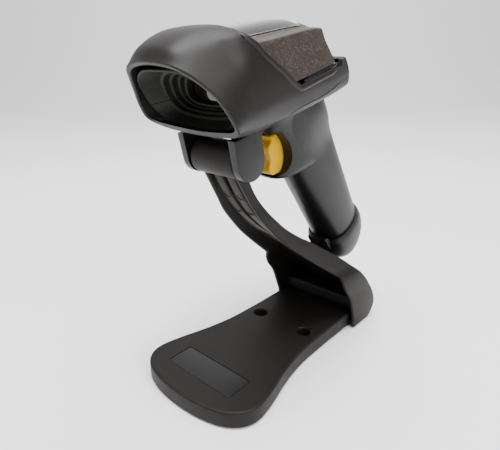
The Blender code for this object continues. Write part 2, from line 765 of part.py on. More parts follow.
def make_boot(head, rubber):
    """The soft boot over the nose, with a tail along each side and round the rear."""
    boot = skin_solid("nose_boot", 0.0, head)
    boot.data.materials.append(rubber)
    cut(boot, skin_solid("boot_hollow", BOOT_WALL, head, overshoot=4.0))
    keep(boot, side_prism("boot_side_view", BOOT_EDGE + [(-90, 0), (45, 0), (45, 75)], head))
    opening = rounded_box_outline(FLOOR_HALF_WIDTH + GAP, -4.0, 76.4, 5.0)
    cut(boot, prism("boot_bottom_opening", opening, "z", 5.0, FLOOR_BOTTOM + FLOOR_THICKNESS + GAP, None, head))
    return boot


# The top cover's outer section as half rings (x, s, h): lid, rail, side panel
COVER_ROWS = [
    [(0, 6, 60.6), (10, 6, 60.2), (19.6, 5.5, 57.8), (20.8, 5, 57.4), (26.2, 5, 56.4), (27.6, 4, 49.6), (29.4, 2, 41), (31.0, 0, 32.6)],
    [(0, -15, 60.2), (10, -15, 59.6), (19.6, -15, 55.0), (20.8, -15, 54.9), (26.2, -15, 54.0), (27.6, -15, 47.2), (29.4, -15, 40), (31.0, -15, 32.6)],
    [(0, -35, 59.3), (10, -35, 58.5), (19.6, -35, 53.6), (20.8, -35, 53.8), (26.2, -35, 53.0), (27.4, -35, 46.2), (29.4, -35, 39.6), (31.0, -35, 32.8)],
    [(0, -51, 57.6), (10, -51, 56.8), (19.4, -51, 52.4), (20.6, -51, 52.8), (26.0, -51, 52.0), (27.0, -51, 45.4), (29.0, -51.4, 39.2), (30.6, -52, 33.0)],
    [(0, -61.0, 54.4), (9.6, -61.0, 53.8), (18.6, -61.0, 50.8), (19.8, -61.0, 51.2), (25.0, -61.0, 50.6), (26.2, -61.8, 44.4), (28.0, -63.0, 38.8), (29.6, -64.4, 33.2)],
]


def cover_rings(offset, low, along=2):
    """Filled sections of the cover, from the lid's middle down to the level low."""
    columns = [smooth_line([row[k] for row in COVER_ROWS], along) for k in range(len(COVER_ROWS[0]))]
    rings = []
    for r in range(len(columns[0])):
        half = [column[r] for column in columns]
        if offset:
            shifted = []
            for k, (x, s, h) in enumerate(half):
                before = half[k - 1] if k else (-half[1][0], *half[1][1:])
                after = half[k + 1] if k + 1 < len(half) else (2 * x - half[k - 1][0], s, 2 * h - half[k - 1][2])
                run = Vector((after[0] - before[0], after[2] - before[2])).normalized()
                shifted.append((x + run.y * offset, s, h - run.x * offset))
            half = shifted
            half[0] = (0, *half[0][1:])
        x, s, h = half[-1]
        half.append((x, s, low))
        rings.append(mirrored(half + [(0, s, low)]))
    return rings


def make_top_cover(head, plastic):
    """The hard cover behind the boot: a lid between two rails, with textured side panels."""
    edge = [(s - GAP, h + GAP) for s, h in BOOT_EDGE]
    level = STRIP_TOP + GAP
    cover = loft("top_cover", [placed(ring) for ring in cover_rings(0.0, level)], plastic, head, 28.0)
    inner = cover_rings(COVER_WALL, level - 10.0)
    inner[-1] = [(x, s + COVER_WALL, h) for x, s, h in inner[-1]]
    cut(cover, loft("cover_hollow", [placed(ring) for ring in inner], None, head))
    deck = rounded_box_outline(24.6, 60.2, 73.0, 4.0)
    low = level + 0.4 - DECK_THICKNESS
    join(cover, prism("rear_deck", deck, "z", low, low + DECK_THICKNESS, None, head))
    front = [(s, h) for s, h in edge if s > -32.0]
    rear = [(s + GAP, h + GAP) for s, h in BOOT_EDGE[-3:]]
    back = front + [(-60.0, 27.0), (-68.0, 27.0), *rear, (-89.7, 75.3)]
    keep(cover, side_prism("cover_side_view", back, head))
    cut(cover, window_prism("window_hole", 0.0, head))
    return cover


def window_prism(name, margin, head):
    outline = rounded_box_outline(
        WINDOW_HALF_WIDTH - margin, -WINDOW_FRONT + margin, -WINDOW_REAR - margin, 5.0 - margin
    )
    return prism(name, outline, "z", 46.0, 75.0, None, head)


def make_top_window(head, acrylic):
    """The glossy panel let into the lid."""
    outer = cover_rings(0.0, 20.0)
    panel = loft("top_window", [placed(ring) for ring in outer], acrylic, head, 28.0)
    keep(panel, window_prism("window_outline", GAP, head))
    cut(panel, loft("window_underside", [placed(ring) for ring in cover_rings(WINDOW_WALL, 10.0)], None, head))
    return panel


def make_side_strips(head, acrylic):
    """A glossy strip on each side between the cover and the boot's tail."""
    for name, side in (("left", 1), ("right", -1)):
        rings = []
        for x, s in ((30.9, -34.6), (30.9, -48.0), (30.2, -60.0), (29.2, -68.6)):
            inner = x - 2.0
            low, high = STRIP_BOTTOM + 0.02 * (-31.4 - s) + 2 * GAP, STRIP_TOP
            section = [(side * x, low), (side * x, high), (side * inner, high), (side * inner, low)]
            rings.append([spot(px, s, h) for px, h in section])
        strip = loft("side_strip_" + name, rings, acrylic, head)
        soften(strip, 0.35)


# ---------------------------------------------------------------- grip and chassis


def grip_point(x, along, across):
    """A point of the grip: along its axis from the hinge level, and across it from front to rear."""
    s = -along * math.sin(RAKE) - across * math.cos(RAKE)
    h = -along * math.cos(RAKE) + across * math.sin(RAKE)
    return spot(x, s, h)


# The grip's rear line (share of the handle length, distance across), and the rear of the room inside it
GRIP_REAR = [(-0.10, 72.0), (0.10, 74.4), (0.27, 76.8), (0.36, 75.4), (0.55, 73.2), (0.77, 70.8), (1.0, 68.4), (1.25, 67.0)]
CAVITY_REAR = [(-0.12, 61.0), (0.10, 67.0), (0.27, 74.0), (0.36, 73.0), (0.55, 70.8), (0.77, 68.4), (1.0, 66.0), (1.25, 64.6)]
GRIP_FLARE = 5.5  # how much wider each side of the grip is where it meets the floor
CAVITY_FLARE = 2.0


def read_line(table, share):
    """The value at a share of the handle length on a broken line."""
    for (a, low), (b, high) in zip(table, table[1:]):
        if share <= b:
            return low + (high - low) * (share - a) / (b - a)
    return table[-1][1]


def grip_rings(shares, wall=0.0, sides=28):
    """Rings of the grip square to its axis; with a wall they are the room inside it."""
    rings = []
    for share in shares:
        front = GRIP_FRONT + wall
        rear = read_line(CAVITY_REAR if wall else GRIP_REAR, share) - (wall - 2.4 if wall else 0.0)
        middle, half = (front + rear) / 2.0, (rear - front) / 2.0
        spread = min(1.0, max(0.0, (0.42 - share) / 0.30))
        flare = (CAVITY_FLARE if wall else GRIP_FLARE) * spread * spread * (3.0 - 2.0 * spread)
        outline = superellipse(GRIP_HALF_WIDTH - wall + flare, half, 2.35, sides)
        rings.append([grip_point(x, share * HANDLE_LENGTH, middle + y) for x, y in outline])
    return rings


# The trigger housing: level rings as (h, front s, rear s, half-width)
HOUSING = [(-25.6, -31.5, -82.0, 13.6), (-23.0, -30.6, -82.0, 14.8), (-12.0, -30.0, -78.0, 15.0),
           (0.0, -28.5, -75.0, 15.6), (8.0, -25.0, -74.0, 17.2), (14.0, -20.0, -72.0, 19.6)]

# The trigger's side view (s, h): the part that shows, front then rear
TRIGGER_FRONT = [(-31.6, 0.4), (-31.8, -2.1), (-28.3, -5.2), (-28.3, -12.3), (-26.4, -18.6), (-29.7, -22.0)]
TRIGGER_REAR = [(-35.1, -22.9), (-43.4, -21.6), (-46.8, -17.4), (-47.6, -11.4), (-46.0, -5.0), (-40.7, 1.6)]
# Rear edge of the opening in the housing's sides, which lies ahead of the trigger's own rear edge
TRIGGER_OPENING = [(-33.6, 3.4), (-38.4, -4.6), (-39.8, -11.2), (-38.8, -17.2), (-35.6, -21.4), (-31.4, -24.0)]


def rounded_plate(half_width, front, rear, radius):
    return rounded_box_outline(half_width, -front, -rear, radius, 3)


def make_handle_half(name, side, head, plastic):
    """One half of the grip, with its half of the floor, the trigger housing and one hinge lug."""
    cavity_top = FLOOR_BOTTOM + FLOOR_THICKNESS + FLANGE_THICKNESS
    body = loft(name, grip_rings([-0.10, 0.02, 0.12, 0.20, 0.28, 0.36, 0.46, 0.62, 0.80, 1.0]), plastic, head)
    sky = box(name + "_above_floor", (-60, -20, FLOOR_BOTTOM + 1.37), (60, 140, 80), None, head)
    cut(body, sky)
    housing = []
    for h, front, rear, half_width in HOUSING:
        middle, half = (front + rear) / 2.0, (front - rear) / 2.0
        outline = superellipse(half_width, half, 2.9, 28)
        housing.append([spot(x, middle + y, h) for x, y in outline])
    join(body, loft(name + "_housing", housing, None, head))
    floor = rounded_plate(FLOOR_HALF_WIDTH, 3.7, -75.2, 4.7)
    join(body, prism(name + "_floor", floor, "z", FLOOR_BOTTOM, FLOOR_BOTTOM + FLOOR_THICKNESS, None, head))
    flange = rounded_plate(FLOOR_HALF_WIDTH - 1.2, 1.0, -67.0, 5.5)
    join(body, prism(name + "_flange", flange, "z", cavity_top - FLANGE_THICKNESS - 0.1, cavity_top, None, head))
    lug_inner = BARREL_HALF_LENGTH + 2 * GAP + WASHER_THICKNESS
    lug_outer = lug_inner + LUG_THICKNESS
    arc = [math.radians(180.0 + 180.0 * k / 14) for k in range(15)]
    lug_outline = [(LUG_RADIUS * math.cos(a), LUG_RADIUS * math.sin(a)) for a in arc]
    lug_outline += [(LUG_RADIUS, FLOOR_BOTTOM + 1.7), (-LUG_RADIUS, FLOOR_BOTTOM + 1.7)]
    low, high = sorted((side * lug_inner, side * lug_outer))
    lug = prism(name + "_lug", lug_outline, "x", low, high, None, head)
    join(body, lug)
    cut(body, loft(name + "_cavity", grip_rings([-0.12, 0.10, 0.20, 0.28, 0.36, 0.55, 0.77, 1.05], GRIP_WALL), None, head))
    opening = smooth_line(TRIGGER_OPENING, 3)
    view = [(-10.0, 3.4)] + opening + [(-24.0, -23.7), (-10.0, -23.7)]
    cut(body, side_prism(name + "_trigger_view", view, head, 40.0))
    rear_wall = TRIGGER_BACK - PLUNGER_TRAVEL - 2 * GAP - 2.0
    room = [(-20.0, 2.7), (rear_wall, 2.7), (rear_wall, -24.2), (-20.0, -24.2)]
    cut(body, side_prism(name + "_trigger_room", room, head, TRIGGER_HALF_WIDTH + 0.5))
    cut(body, rod(name + "_pin_hole", PIN_RADIUS + GAP, spot(-PIN_HALF_LENGTH - GAP, PIN_S, PIN_H), spot(PIN_HALF_LENGTH + GAP, PIN_S, PIN_H), None, head, 16))
    for number, (share, across) in enumerate(GRIP_SCREWS):
        start, end = grip_point(-14.6, share * HANDLE_LENGTH, across), grip_point(14.6, share * HANDLE_LENGTH, across)
        join(body, rod(f"{name}_post_{number}", SCREW_HEAD_RADIUS + GAP + 1.0, start, end, None, head, 16))
        start = grip_point(-30.0, share * HANDLE_LENGTH, across)
        seat = 30.0 - GRIP_HALF_WIDTH + HANDLE_SCREW_SEAT
        steps = [(SCREW_HEAD_RADIUS + GAP, 0.0), (SCREW_HEAD_RADIUS + GAP, seat), (SCREW_RADIUS + GAP, 41.0)]
        bore(body, f"{name}_drill_{number}", steps, start, (1, 0, 0), 16)
    centre = (0, 0, 0)
    if side > 0:
        depth = lug_inner + NUT_LENGTH + 2 * GAP
        hexagon = (NUT_HALF_FLATS + GAP) / math.cos(math.radians(30.0))
        cut(body, turned(name + "_nut_pocket", [(hexagon, 5.0), (hexagon, depth)], centre, (1, 0, 0), None, head, 6))
    else:
        seat = -(lug_outer - GAP - BOLT_HEAD_LENGTH - GAP)
        steps = [(BOLT_HEAD_RADIUS + GAP, 0.0), (BOLT_HEAD_RADIUS + GAP, 40.0 + seat), (BOLT_RADIUS + GAP, 35.0)]
        bore(body, name + "_bolt_hole", steps, (-40, 0, 0), (1, 0, 0))
    for k, (x, s) in enumerate(FLOOR_SCREWS):
        x = side * x
        seat = FLOOR_BOTTOM + 1.9
        steps = [(SCREW_HEAD_RADIUS + GAP, 0.0), (SCREW_HEAD_RADIUS + GAP, seat - 10.2), (SCREW_RADIUS + GAP, 30.0)]
        bore(body, f"{name}_floor_hole_{k}", steps, spot(x, s, 10.2), (0, 0, 1), 16)
    low, high = sorted((side * GAP / 2.0, side * 60.0))
    keep(body, box(name + "_half", (low, -60, -200), (high, 200, 60), None, head))
    return body


def make_handle_screws(head, surface):
    for number, (share, across) in enumerate(GRIP_SCREWS):
        head_x = -GRIP_HALF_WIDTH + HANDLE_SCREW_SEAT - GAP - SCREW_HEAD_LENGTH
        start = grip_point(head_x, share * HANDLE_LENGTH, across)
        screw(("handle_screw_upper", "handle_screw_lower")[number], start, (1, 0, 0), 21.5, surface, head)
    for k, (x, s) in enumerate(FLOOR_SCREWS):
        for name, side in (("left", 1), ("right", -1)):
            where = spot(side * x, s, FLOOR_BOTTOM + 0.2)
            screw(f"{('front', 'rear')[k]}_floor_screw_{name}", where, (0, 0, 1), 7.6, surface, head)


def foot_rings(profile, shrink=0.0, sides=28):
    rings = []
    for along, front, rear, half_width in profile:
        middle, half = (front + rear) / 2.0, (rear - front) / 2.0 - shrink
        outline = superellipse(half_width - shrink, half, 2.5, sides)
        rings.append([grip_point(x, HANDLE_LENGTH + along, middle + y) for x, y in outline])
    return rings


def make_foot(head, plastic, socket_plastic):
    """The cap on the grip's end, with the cable socket inside it and a lip at its front."""
    profile = [
        (GAP, 31.2, 69.4, 16.4), (3.5, 28.6, 70.0, 17.2), (8.0, 28.2, 69.9, 17.4),
        (14.0, 28.6, 68.4, 17.0), (19.5, 30.0, 64.2, 16.0), (23.6, 32.6, 59.0, 14.4),
        (FOOT_LENGTH, 35.0, 56.0, 12.6),
    ]
    foot = loft("handle_foot", foot_rings(profile), plastic, head)
    lip = [(-4.6, 28.8), (-4.2, 31.4), (4.0, 32.6), (4.0, 28.5)]
    sides = []
    for x in (-8.0, -6.5, 6.5, 8.0):
        sink = 0.9 if abs(x) > 7.0 else 0.0
        sides.append([grip_point(x, HANDLE_LENGTH + a + sink, e) for a, e in lip])
    join(foot, loft("foot_lip", sides, None, head))
    inner = [(a, front, rear, wide) for a, front, rear, wide in profile[:-2]]
    inner[0] = (-6.0, *profile[0][1:])
    inner.append((FOOT_LENGTH - FOOT_WALL - 2.6, 33.0, 61.0, 14.6))
    cut(foot, loft("foot_hollow", foot_rings(inner, FOOT_WALL), None, head))
    middle = 46.5
    mouth = [grip_point(x, HANDLE_LENGTH + FOOT_LENGTH - 12.0, middle + y) for x, y in rounded_box_outline(6.6, -5.6, 5.6, 1.0, 2)]
    mouth_end = [grip_point(x, HANDLE_LENGTH + FOOT_LENGTH + 5.0, middle + y) for x, y in rounded_box_outline(6.6, -5.6, 5.6, 1.0, 2)]
    cut(foot, loft("foot_mouth", [mouth, mouth_end], None, head))

    def block(name, half_x, half_y, low, high, surface):
        outline = rounded_box_outline(half_x, -half_y, half_y, 0.6, 1)
        rings = [[grip_point(x, HANDLE_LENGTH + a, middle + y) for x, y in outline] for a in (low, high)]
        return loft(name, rings, surface, head)

    floor = FOOT_LENGTH - FOOT_WALL - 2.6
    socket = block("cable_socket", 8.2, 7.2, floor - 15.5, floor - GAP, socket_plastic)
    cut(socket, block("socket_mouth", 5.9, 4.2, floor - 12.0, floor + 5.0, None))
    cut(socket, block("socket_latch_way", 2.4, 5.4, floor - 12.0, floor + 5.0, None))
    return foot


# ---------------------------------------------------------------- trigger


def make_trigger(head, pivot, plastic, steel, switch_plastic, button_plastic):
    """The trigger on its pin, its return spring and the switch behind it."""
    pin_y, pin_z = -PIN_S, PIN_H

    def local(s, h):
        return (-s - pin_y, h - pin_z)

    rear = TRIGGER_BACK
    inside = [(-46.0, 1.9), (-49.2, 1.5), (rear, -0.2), (rear, -17.0), (-47.0, -21.5)]
    side_view = TRIGGER_FRONT + [TRIGGER_REAR[0]] + list(reversed(inside)) + [(-40.7, 1.9)]
    outline = [local(s, h) for s, h in side_view]
    trigger = prism("trigger", outline, "x", -TRIGGER_HALF_WIDTH, TRIGGER_HALF_WIDTH, plastic, pivot)
    soften(trigger, 0.6, 2, 30.0)
    cut(trigger, rod("trigger_bore", PIN_RADIUS + GAP, (-20, 0, 0), (20, 0, 0), None, pivot, 16))
    notch = box("spring_notch", (-2.6, -3.6, -8.0), (2.6, 30.0, 12.0), None, pivot)
    cut(trigger, notch)
    pin = rod("trigger_pin", PIN_RADIUS, spot(-PIN_HALF_LENGTH, PIN_S, PIN_H), spot(PIN_HALF_LENGTH, PIN_S, PIN_H), steel, head, 16)
    soften(pin, 0.2)
    make_trigger_spring(head, steel)
    front_s = rear - PLUNGER_TRAVEL - 2 * GAP - 1.0
    rear_s = front_s + 1.0 - SWITCH_LENGTH
    low, high = PLUNGER_H - SWITCH_HALF_HEIGHT, PLUNGER_H + SWITCH_HALF_HEIGHT
    switch = box("switch_body", spot(-4.0, front_s, low), spot(4.0, rear_s, high), switch_plastic, head)
    ends = spot(0, front_s + 3.0, PLUNGER_H), spot(0, rear_s + 2.5, PLUNGER_H)
    cut(switch, rod("plunger_way", PLUNGER_RADIUS + GAP, *ends, None, head, 16))
    ends = spot(0, rear - GAP, PLUNGER_H), spot(0, rear_s + 4.6, PLUNGER_H)
    button = rod("switch_plunger", PLUNGER_RADIUS, *ends, button_plastic, head, 16)
    soften(button, 0.2)


def make_trigger_spring(head, steel):
    """A torsion spring: turns around the pin, one leg on the trigger and one on the housing."""
    wire, radius, turns, steps = 0.32, 2.35, 3, 10
    points = [spot(-1.6, PIN_S + radius + 0.1, PIN_H - 7.0)]
    for k in range(turns * steps + steps // 2 + 1):
        angle = 2.0 * math.pi * k / steps
        x = -1.5 + 3.0 * k / (turns * steps + steps // 2)
        points.append(spot(x, PIN_S + radius * math.cos(angle), PIN_H + radius * math.sin(angle)))
    points.append(spot(1.6, PIN_S - radius - 0.1, PIN_H - 7.0))
    curve = bpy.data.curves.new("trigger_spring", "CURVE")
    curve.dimensions = "3D"
    curve.bevel_depth = wire * MM
    curve.bevel_resolution = 1
    curve.use_fill_caps = True
    line = curve.splines.new("POLY")
    line.points.add(len(points) - 1)
    for target, point in zip(line.points, points):
        target.co = (*(Vector(point) * MM), 1.0)
    made = bpy.data.objects.new("trigger_spring", curve)
    bpy.context.scene.collection.objects.link(made)
    made.parent = head
    curve.materials.append(steel)
    return made


# ---------------------------------------------------------------- optics and electronics

# Rim-shaped outline (share of half-width, share of half-height from the middle)
HOOD_SHAPE = [(0.0, 1.0), (0.45, 0.96), (0.78, 0.66), (0.93, 0.22), (1.0, -0.2), (0.96, -0.52), (0.78, -0.84), (0.4, -0.97), (0.0, -1.0)]


def hood_ring(half_width, half_height, s, h, tilt):
    """One ring of the funnel, tilted forward at its top."""
    half = smooth_line(HOOD_SHAPE, 2, (-HOOD_SHAPE[1][0], HOOD_SHAPE[1][1]), (-HOOD_SHAPE[-2][0], HOOD_SHAPE[-2][1]))
    ring = mirrored(half)
    lean = math.radians(tilt)
    return [spot(x * half_width, s + v * half_height * math.sin(lean), h + v * half_height * math.cos(lean)) for x, v in ring]


# The stepped funnel: (half-width, half-height, s, h, tilt) of its inside from front to rear
HOOD_INSIDE = [
    (27.8, 18.8, 18.6, 34.8, 28.5), (26.8, 17.9, 18.9, 34.8, 28.5), (22.6, 14.4, 10.6, 35.2, 25.0),
    (20.8, 12.9, 10.4, 35.2, 24.5), (20.2, 12.4, 7.4, 35.3, 22.5), (18.6, 11.1, 7.2, 35.3, 22.0),
    (18.0, 10.6, 4.4, 35.4, 20.0), (16.6, 9.5, 4.2, 35.4, 18.0), (16.0, 9.0, 2.2, 35.5, 12.0),
    (14.6, 7.9, 2.0, 35.5, 10.0), (14.2, 7.6, -1.2, 35.5, 0.0),
]
HOOD_WALL = 1.6
HOOD_SEAM = 31.0
PANE_FRONT = -1.8


def make_hood(head, plastic):
    """The light shroud in the nose: a stepped funnel in an upper and a lower half."""
    inside = [hood_ring(*row) for row in HOOD_INSIDE]
    outer_rows = [HOOD_INSIDE[0], HOOD_INSIDE[2], HOOD_INSIDE[6], HOOD_INSIDE[-1]]
    outside = [
        hood_ring(a + HOOD_WALL * grow, b + HOOD_WALL * grow, s - shift, h, tilt)
        for (a, b, s, h, tilt), grow, shift in zip(outer_rows, (0.4, 1.0, 1.0, 1.0), (0.8, 0.5, 0.5, 0.0))
    ]
    rings = inside + list(reversed(outside))
    for name, low, high in (("hood_upper", HOOD_SEAM + GAP / 2, 90.0), ("hood_lower", -20.0, HOOD_SEAM - GAP / 2)):
        half = closed_loft(name, rings, plastic, head, 25.0)
        keep(half, box(name + "_side", (-60, -60, low), (60, 60, high), None, head))


def make_optics(head, glass, plastic, steel, lens_glass, emitter):
    """The pane behind the funnel and the scan engine behind the pane."""
    pane = rounded_box_outline(15.2, 27.4, 43.6, 3.0, 3)
    points = [[spot(x, s, h) for x, h in pane] for s in (PANE_FRONT, PANE_FRONT - WINDOW_PANE)]
    loft("scan_window", points, glass, head)
    front = PANE_FRONT - WINDOW_PANE - 3.2
    engine = box("scan_engine", spot(-13.5, front, 28.0), spot(13.5, front - 15.0, 43.0), plastic, head)
    soften(engine, 0.5)
    turned("engine_lens", [(4.4, 0.0), (4.4, 1.6), (3.4, 2.2)], spot(0, front + GAP, 35.5), (0, -1, 0), lens_glass, head, 28)
    for name, side in (("left", 1), ("right", -1)):
        where = spot(side * 9.2, front + GAP, 35.5)
        turned("illumination_led_" + name, [(2.6, 0.0), (2.6, 1.0), (1.8, 1.9)], where, (0, -1, 0), emitter, head, 20)
    top = 28.0 - GAP
    bracket = box("engine_bracket", spot(-15.5, front - 1.0, top - 1.2), spot(15.5, front - 16.0, top), steel, head)
    for side in (1, -1):
        wall = sorted((side * (13.5 + GAP), side * 15.5))
        join(bracket, box(f"bracket_wall_{side}", spot(wall[0], front - 2.0, top - 0.6), spot(wall[1], front - 15.0, 36.0), None, head))
        post = sorted((side * 9.0, side * 12.0))
        join(bracket, box(f"bracket_post_{side}", spot(post[0], front - 12.0, BOARD_H + BOARD_THICKNESS + GAP), spot(post[1], front - 15.0, top - 0.6), None, head))


def make_boards(head, laminate, chip_plastic, metal, clear, white):
    """The main board on the floor flange, with its chip, beeper, connector and status light."""
    top = BOARD_H + BOARD_THICKNESS + GAP
    plate = rounded_box_outline(BOARD_HALF_WIDTH, 4.0, 55.5, 2.0, 2)
    prism("main_board", plate, "z", BOARD_H, BOARD_H + BOARD_THICKNESS, laminate, head)
    for k, (x, s) in enumerate([(x, s) for s in (-13.0, -52.0) for x in (15.0, -15.0)]):
        low = FLOOR_BOTTOM + FLOOR_THICKNESS + FLANGE_THICKNESS + GAP
        rod(f"board_spacer_{k + 1}", 2.2, spot(x, s, low), spot(x, s, BOARD_H - GAP), metal, head, 16)
    box("processor_chip", spot(0.0, -28.6, top), spot(12.0, -40.6, top + 1.2), chip_plastic, head)
    beeper = turned("beeper", [(5.6, 0.0), (6.0, 0.4), (6.0, 5.2), (5.6, 5.6)], spot(9.0, -48.0, top), (0, 0, 1), chip_plastic, head, 28)
    cut(beeper, rod("beeper_hole", 1.1, spot(9.0, -48.0, top + 3.0), spot(9.0, -48.0, top + 9.0), None, head, 12))
    box("lead_connector", spot(-15.0, -38.0, top), spot(-5.0, -46.0, top + 5.0), white, head)
    box("status_led", spot(-1.2, -24.4, top), spot(1.2, -26.4, top + 1.0), clear, head)
    guide = box("indicator_light_guide", spot(-3.4, -23.8, top + 1.6), spot(3.4, -27.0, 52.0), clear, head)
    soften(guide, 0.4)


def make_inner_lead(head, rubber):
    """The lead inside the grip, from the cable socket up to the main board."""
    route = [grip_point(0.0, HANDLE_LENGTH + a, e) for a, e in ((3.0, 46.0), (-8.0, 43.5), (-30.0, 43.0), (-55.0, 46.5), (-78.0, 52.0))]
    route += [spot(0.0, -63.2, -3.0), spot(0.0, -60.4, 6.0), spot(-1.0, -58.6, 14.0), spot(-2.5, -58.8, 20.0), spot(-5.0, -58.8, 25.6), spot(-8.5, -54.5, 28.6), spot(-10.0, -46.6, 27.4)]
    line_points = smooth_line(route, 3)
    curve = bpy.data.curves.new("inner_lead", "CURVE")
    curve.dimensions = "3D"
    curve.bevel_depth = 1.3 * MM
    curve.bevel_resolution = 1
    curve.use_fill_caps = True
    line = curve.splines.new("POLY")
    line.points.add(len(line_points) - 1)
    for target, point in zip(line.points, line_points):
        target.co = (*(Vector(point) * MM), 1.0)
    made = bpy.data.objects.new("inner_lead", curve)
    bpy.context.scene.collection.objects.link(made)
    made.parent = head
    curve.materials.append(rubber)


# ---------------------------------------------------------------- assembly


def main():
    for obj in list(bpy.data.objects):
        bpy.data.objects.remove(obj, do_unlink=True)

    stand_plastic = finish("stand_moulded_abs", (0.045, 0.040, 0.038), 0.62)
    shell_plastic = finish("shell_satin_abs", (0.030, 0.029, 0.028), 0.48)
    cover_plastic = finish("cover_textured_abs", (0.145, 0.118, 0.105), 0.55)
    boot_rubber = finish("boot_soft_rubber", (0.036, 0.034, 0.033), 0.60)
    pad_rubber = finish("pad_rubber", (0.020, 0.020, 0.020), 0.85)
    acrylic = finish("gloss_black_acrylic", (0.010, 0.010, 0.012), 0.08)
    trigger_plastic = finish("trigger_yellow_abs", (0.90, 0.56, 0.0), 0.35)
    hood_plastic = finish("hood_black_abs", (0.018, 0.020, 0.015), 0.55)
    window_glass = finish("scan_window_filter", (0.020, 0.004, 0.006), 0.05)
    lens_glass = finish("lens_glass", (0.05, 0.05, 0.07), 0.03)
    emitter = finish("led_epoxy", (0.85, 0.80, 0.60), 0.15)
    steel = finish("zinc_plated_steel", (0.60, 0.60, 0.58), 0.32, 1.0)
    dark_steel = finish("black_oxide_steel", (0.05, 0.05, 0.05), 0.45, 1.0)
    ballast_steel = finish("mild_steel", (0.40, 0.40, 0.40), 0.50, 1.0)
    nylon = finish("nylon_washer", (0.60, 0.58, 0.52), 0.50)
    laminate = finish("circuit_laminate", (0.010, 0.110, 0.040), 0.40)
    chip_plastic = finish("chip_epoxy", (0.020, 0.020, 0.022), 0.45)
    white_plastic = finish("connector_nylon", (0.75, 0.73, 0.66), 0.50)
    clear_plastic = finish("clear_acrylic", (0.80, 0.85, 0.88), 0.10)

    stand = anchor("stand_origin", (0.0, ORIGIN_SHIFT, 0.0))
    head = anchor("hinge_axis", (0.0, HINGE_Y, HINGE_HEIGHT), stand, PITCH)
    pivot = anchor("trigger_axis", spot(0.0, PIN_S, PIN_H), head)

    make_base(stand, stand_plastic)
    make_base_underside(stand, stand_plastic, ballast_steel, pad_rubber, dark_steel)
    make_neck(stand, stand_plastic)
    make_neck_screws(stand, dark_steel)
    make_hinge(head, steel, nylon)
    make_handle_half("handle_left_shell", 1, head, shell_plastic)
    make_handle_half("handle_right_shell", -1, head, shell_plastic)
    make_handle_screws(head, dark_steel)
    make_foot(head, shell_plastic, chip_plastic)
    make_boot(head, boot_rubber)
    make_top_cover(head, cover_plastic)
    make_top_window(head, acrylic)
    make_side_strips(head, acrylic)
    make_trigger(head, pivot, trigger_plastic, steel, chip_plastic, white_plastic)
    make_hood(head, hood_plastic)
    make_optics(head, window_glass, chip_plastic, steel, lens_glass, emitter)
    make_boards(head, laminate, chip_plastic, steel, clear_plastic, white_plastic)
    make_inner_lead(head, chip_plastic)
    bpy.context.view_layer.update()


main()
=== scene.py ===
"""Finished look of a handheld barcode scanner on its S-shaped desk stand.

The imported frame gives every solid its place. This script covers the visible ones with finer shapes made
from the same measures, and gives every solid a finish. Lengths are in millimetres until a point is placed:
stand pieces use x to the object's left, y backwards from the joint of base and neck, z up from the table;
head pieces use x, then s forward from the hinge, then h up from it, in the scanner's own pitched frame.
"""

import json
import math

import bmesh
import bpy
from bpy.props import FloatProperty, FloatVectorProperty, IntProperty, PointerProperty
from mathutils import Matrix, Vector


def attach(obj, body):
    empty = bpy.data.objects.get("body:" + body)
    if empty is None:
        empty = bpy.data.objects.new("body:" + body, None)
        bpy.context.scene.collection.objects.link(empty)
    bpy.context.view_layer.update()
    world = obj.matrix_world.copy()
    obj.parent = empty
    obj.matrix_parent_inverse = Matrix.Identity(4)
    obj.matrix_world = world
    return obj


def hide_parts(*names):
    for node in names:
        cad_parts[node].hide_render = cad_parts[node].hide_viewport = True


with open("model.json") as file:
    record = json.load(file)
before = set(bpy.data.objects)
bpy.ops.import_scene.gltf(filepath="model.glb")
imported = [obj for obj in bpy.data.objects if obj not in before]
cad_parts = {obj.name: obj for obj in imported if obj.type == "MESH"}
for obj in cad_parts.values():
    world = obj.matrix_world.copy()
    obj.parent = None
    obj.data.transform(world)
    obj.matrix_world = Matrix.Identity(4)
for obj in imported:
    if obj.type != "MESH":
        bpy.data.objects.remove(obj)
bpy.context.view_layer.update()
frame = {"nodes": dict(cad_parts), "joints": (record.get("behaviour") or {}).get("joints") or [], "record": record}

bl_info = {
    "name": "Barcode Scanner on Stand",
    "version": (1, 0, 0),
    "blender": (4, 5, 0),
    "location": "View3D > Sidebar > Scanner",
    "description": "Builds the finished shells, finishes and studio round the packed scanner",
    "category": "Object",
}

MM = 0.001
GAP = 0.3
FINISHES = {}

JOINTS = {joint["name"]: joint for joint in frame["joints"]}
HINGE = Vector(JOINTS["head_tilt"]["pos_m"]) / MM
PRESS = JOINTS["switch_press"]["axis"]
PITCH = math.atan2(PRESS[2], PRESS[1])
DRAWN_HINGE_Y = -90.2
STAND_SHIFT = HINGE.y - DRAWN_HINGE_Y


# ---------------------------------------------------------------- sizes and colours a user may change


class StandSizes(bpy.types.PropertyGroup):
    """Fine shape of the stand."""

    edge_radius: FloatProperty(
        name="Base edge radius", description="Rounding of the base's top edge, in mm",
        default=1.5, min=0.2, max=3.0,
    )
    flange_radius: FloatProperty(
        name="Neck corner radius", description="Rounding of the neck's outer corners, in mm",
        default=2.4, min=0.5, max=4.0,
    )
    stations: IntProperty(
        name="Neck stations", description="Sections along the neck", default=84, min=30, max=200
    )
    plastic: FloatVectorProperty(
        name="Stand colour", description="Moulded ABS of the stand", subtype="COLOR_GAMMA", size=3,
        default=(0x19 / 255, 0x16 / 255, 0x14 / 255), min=0.0, max=1.0,
    )


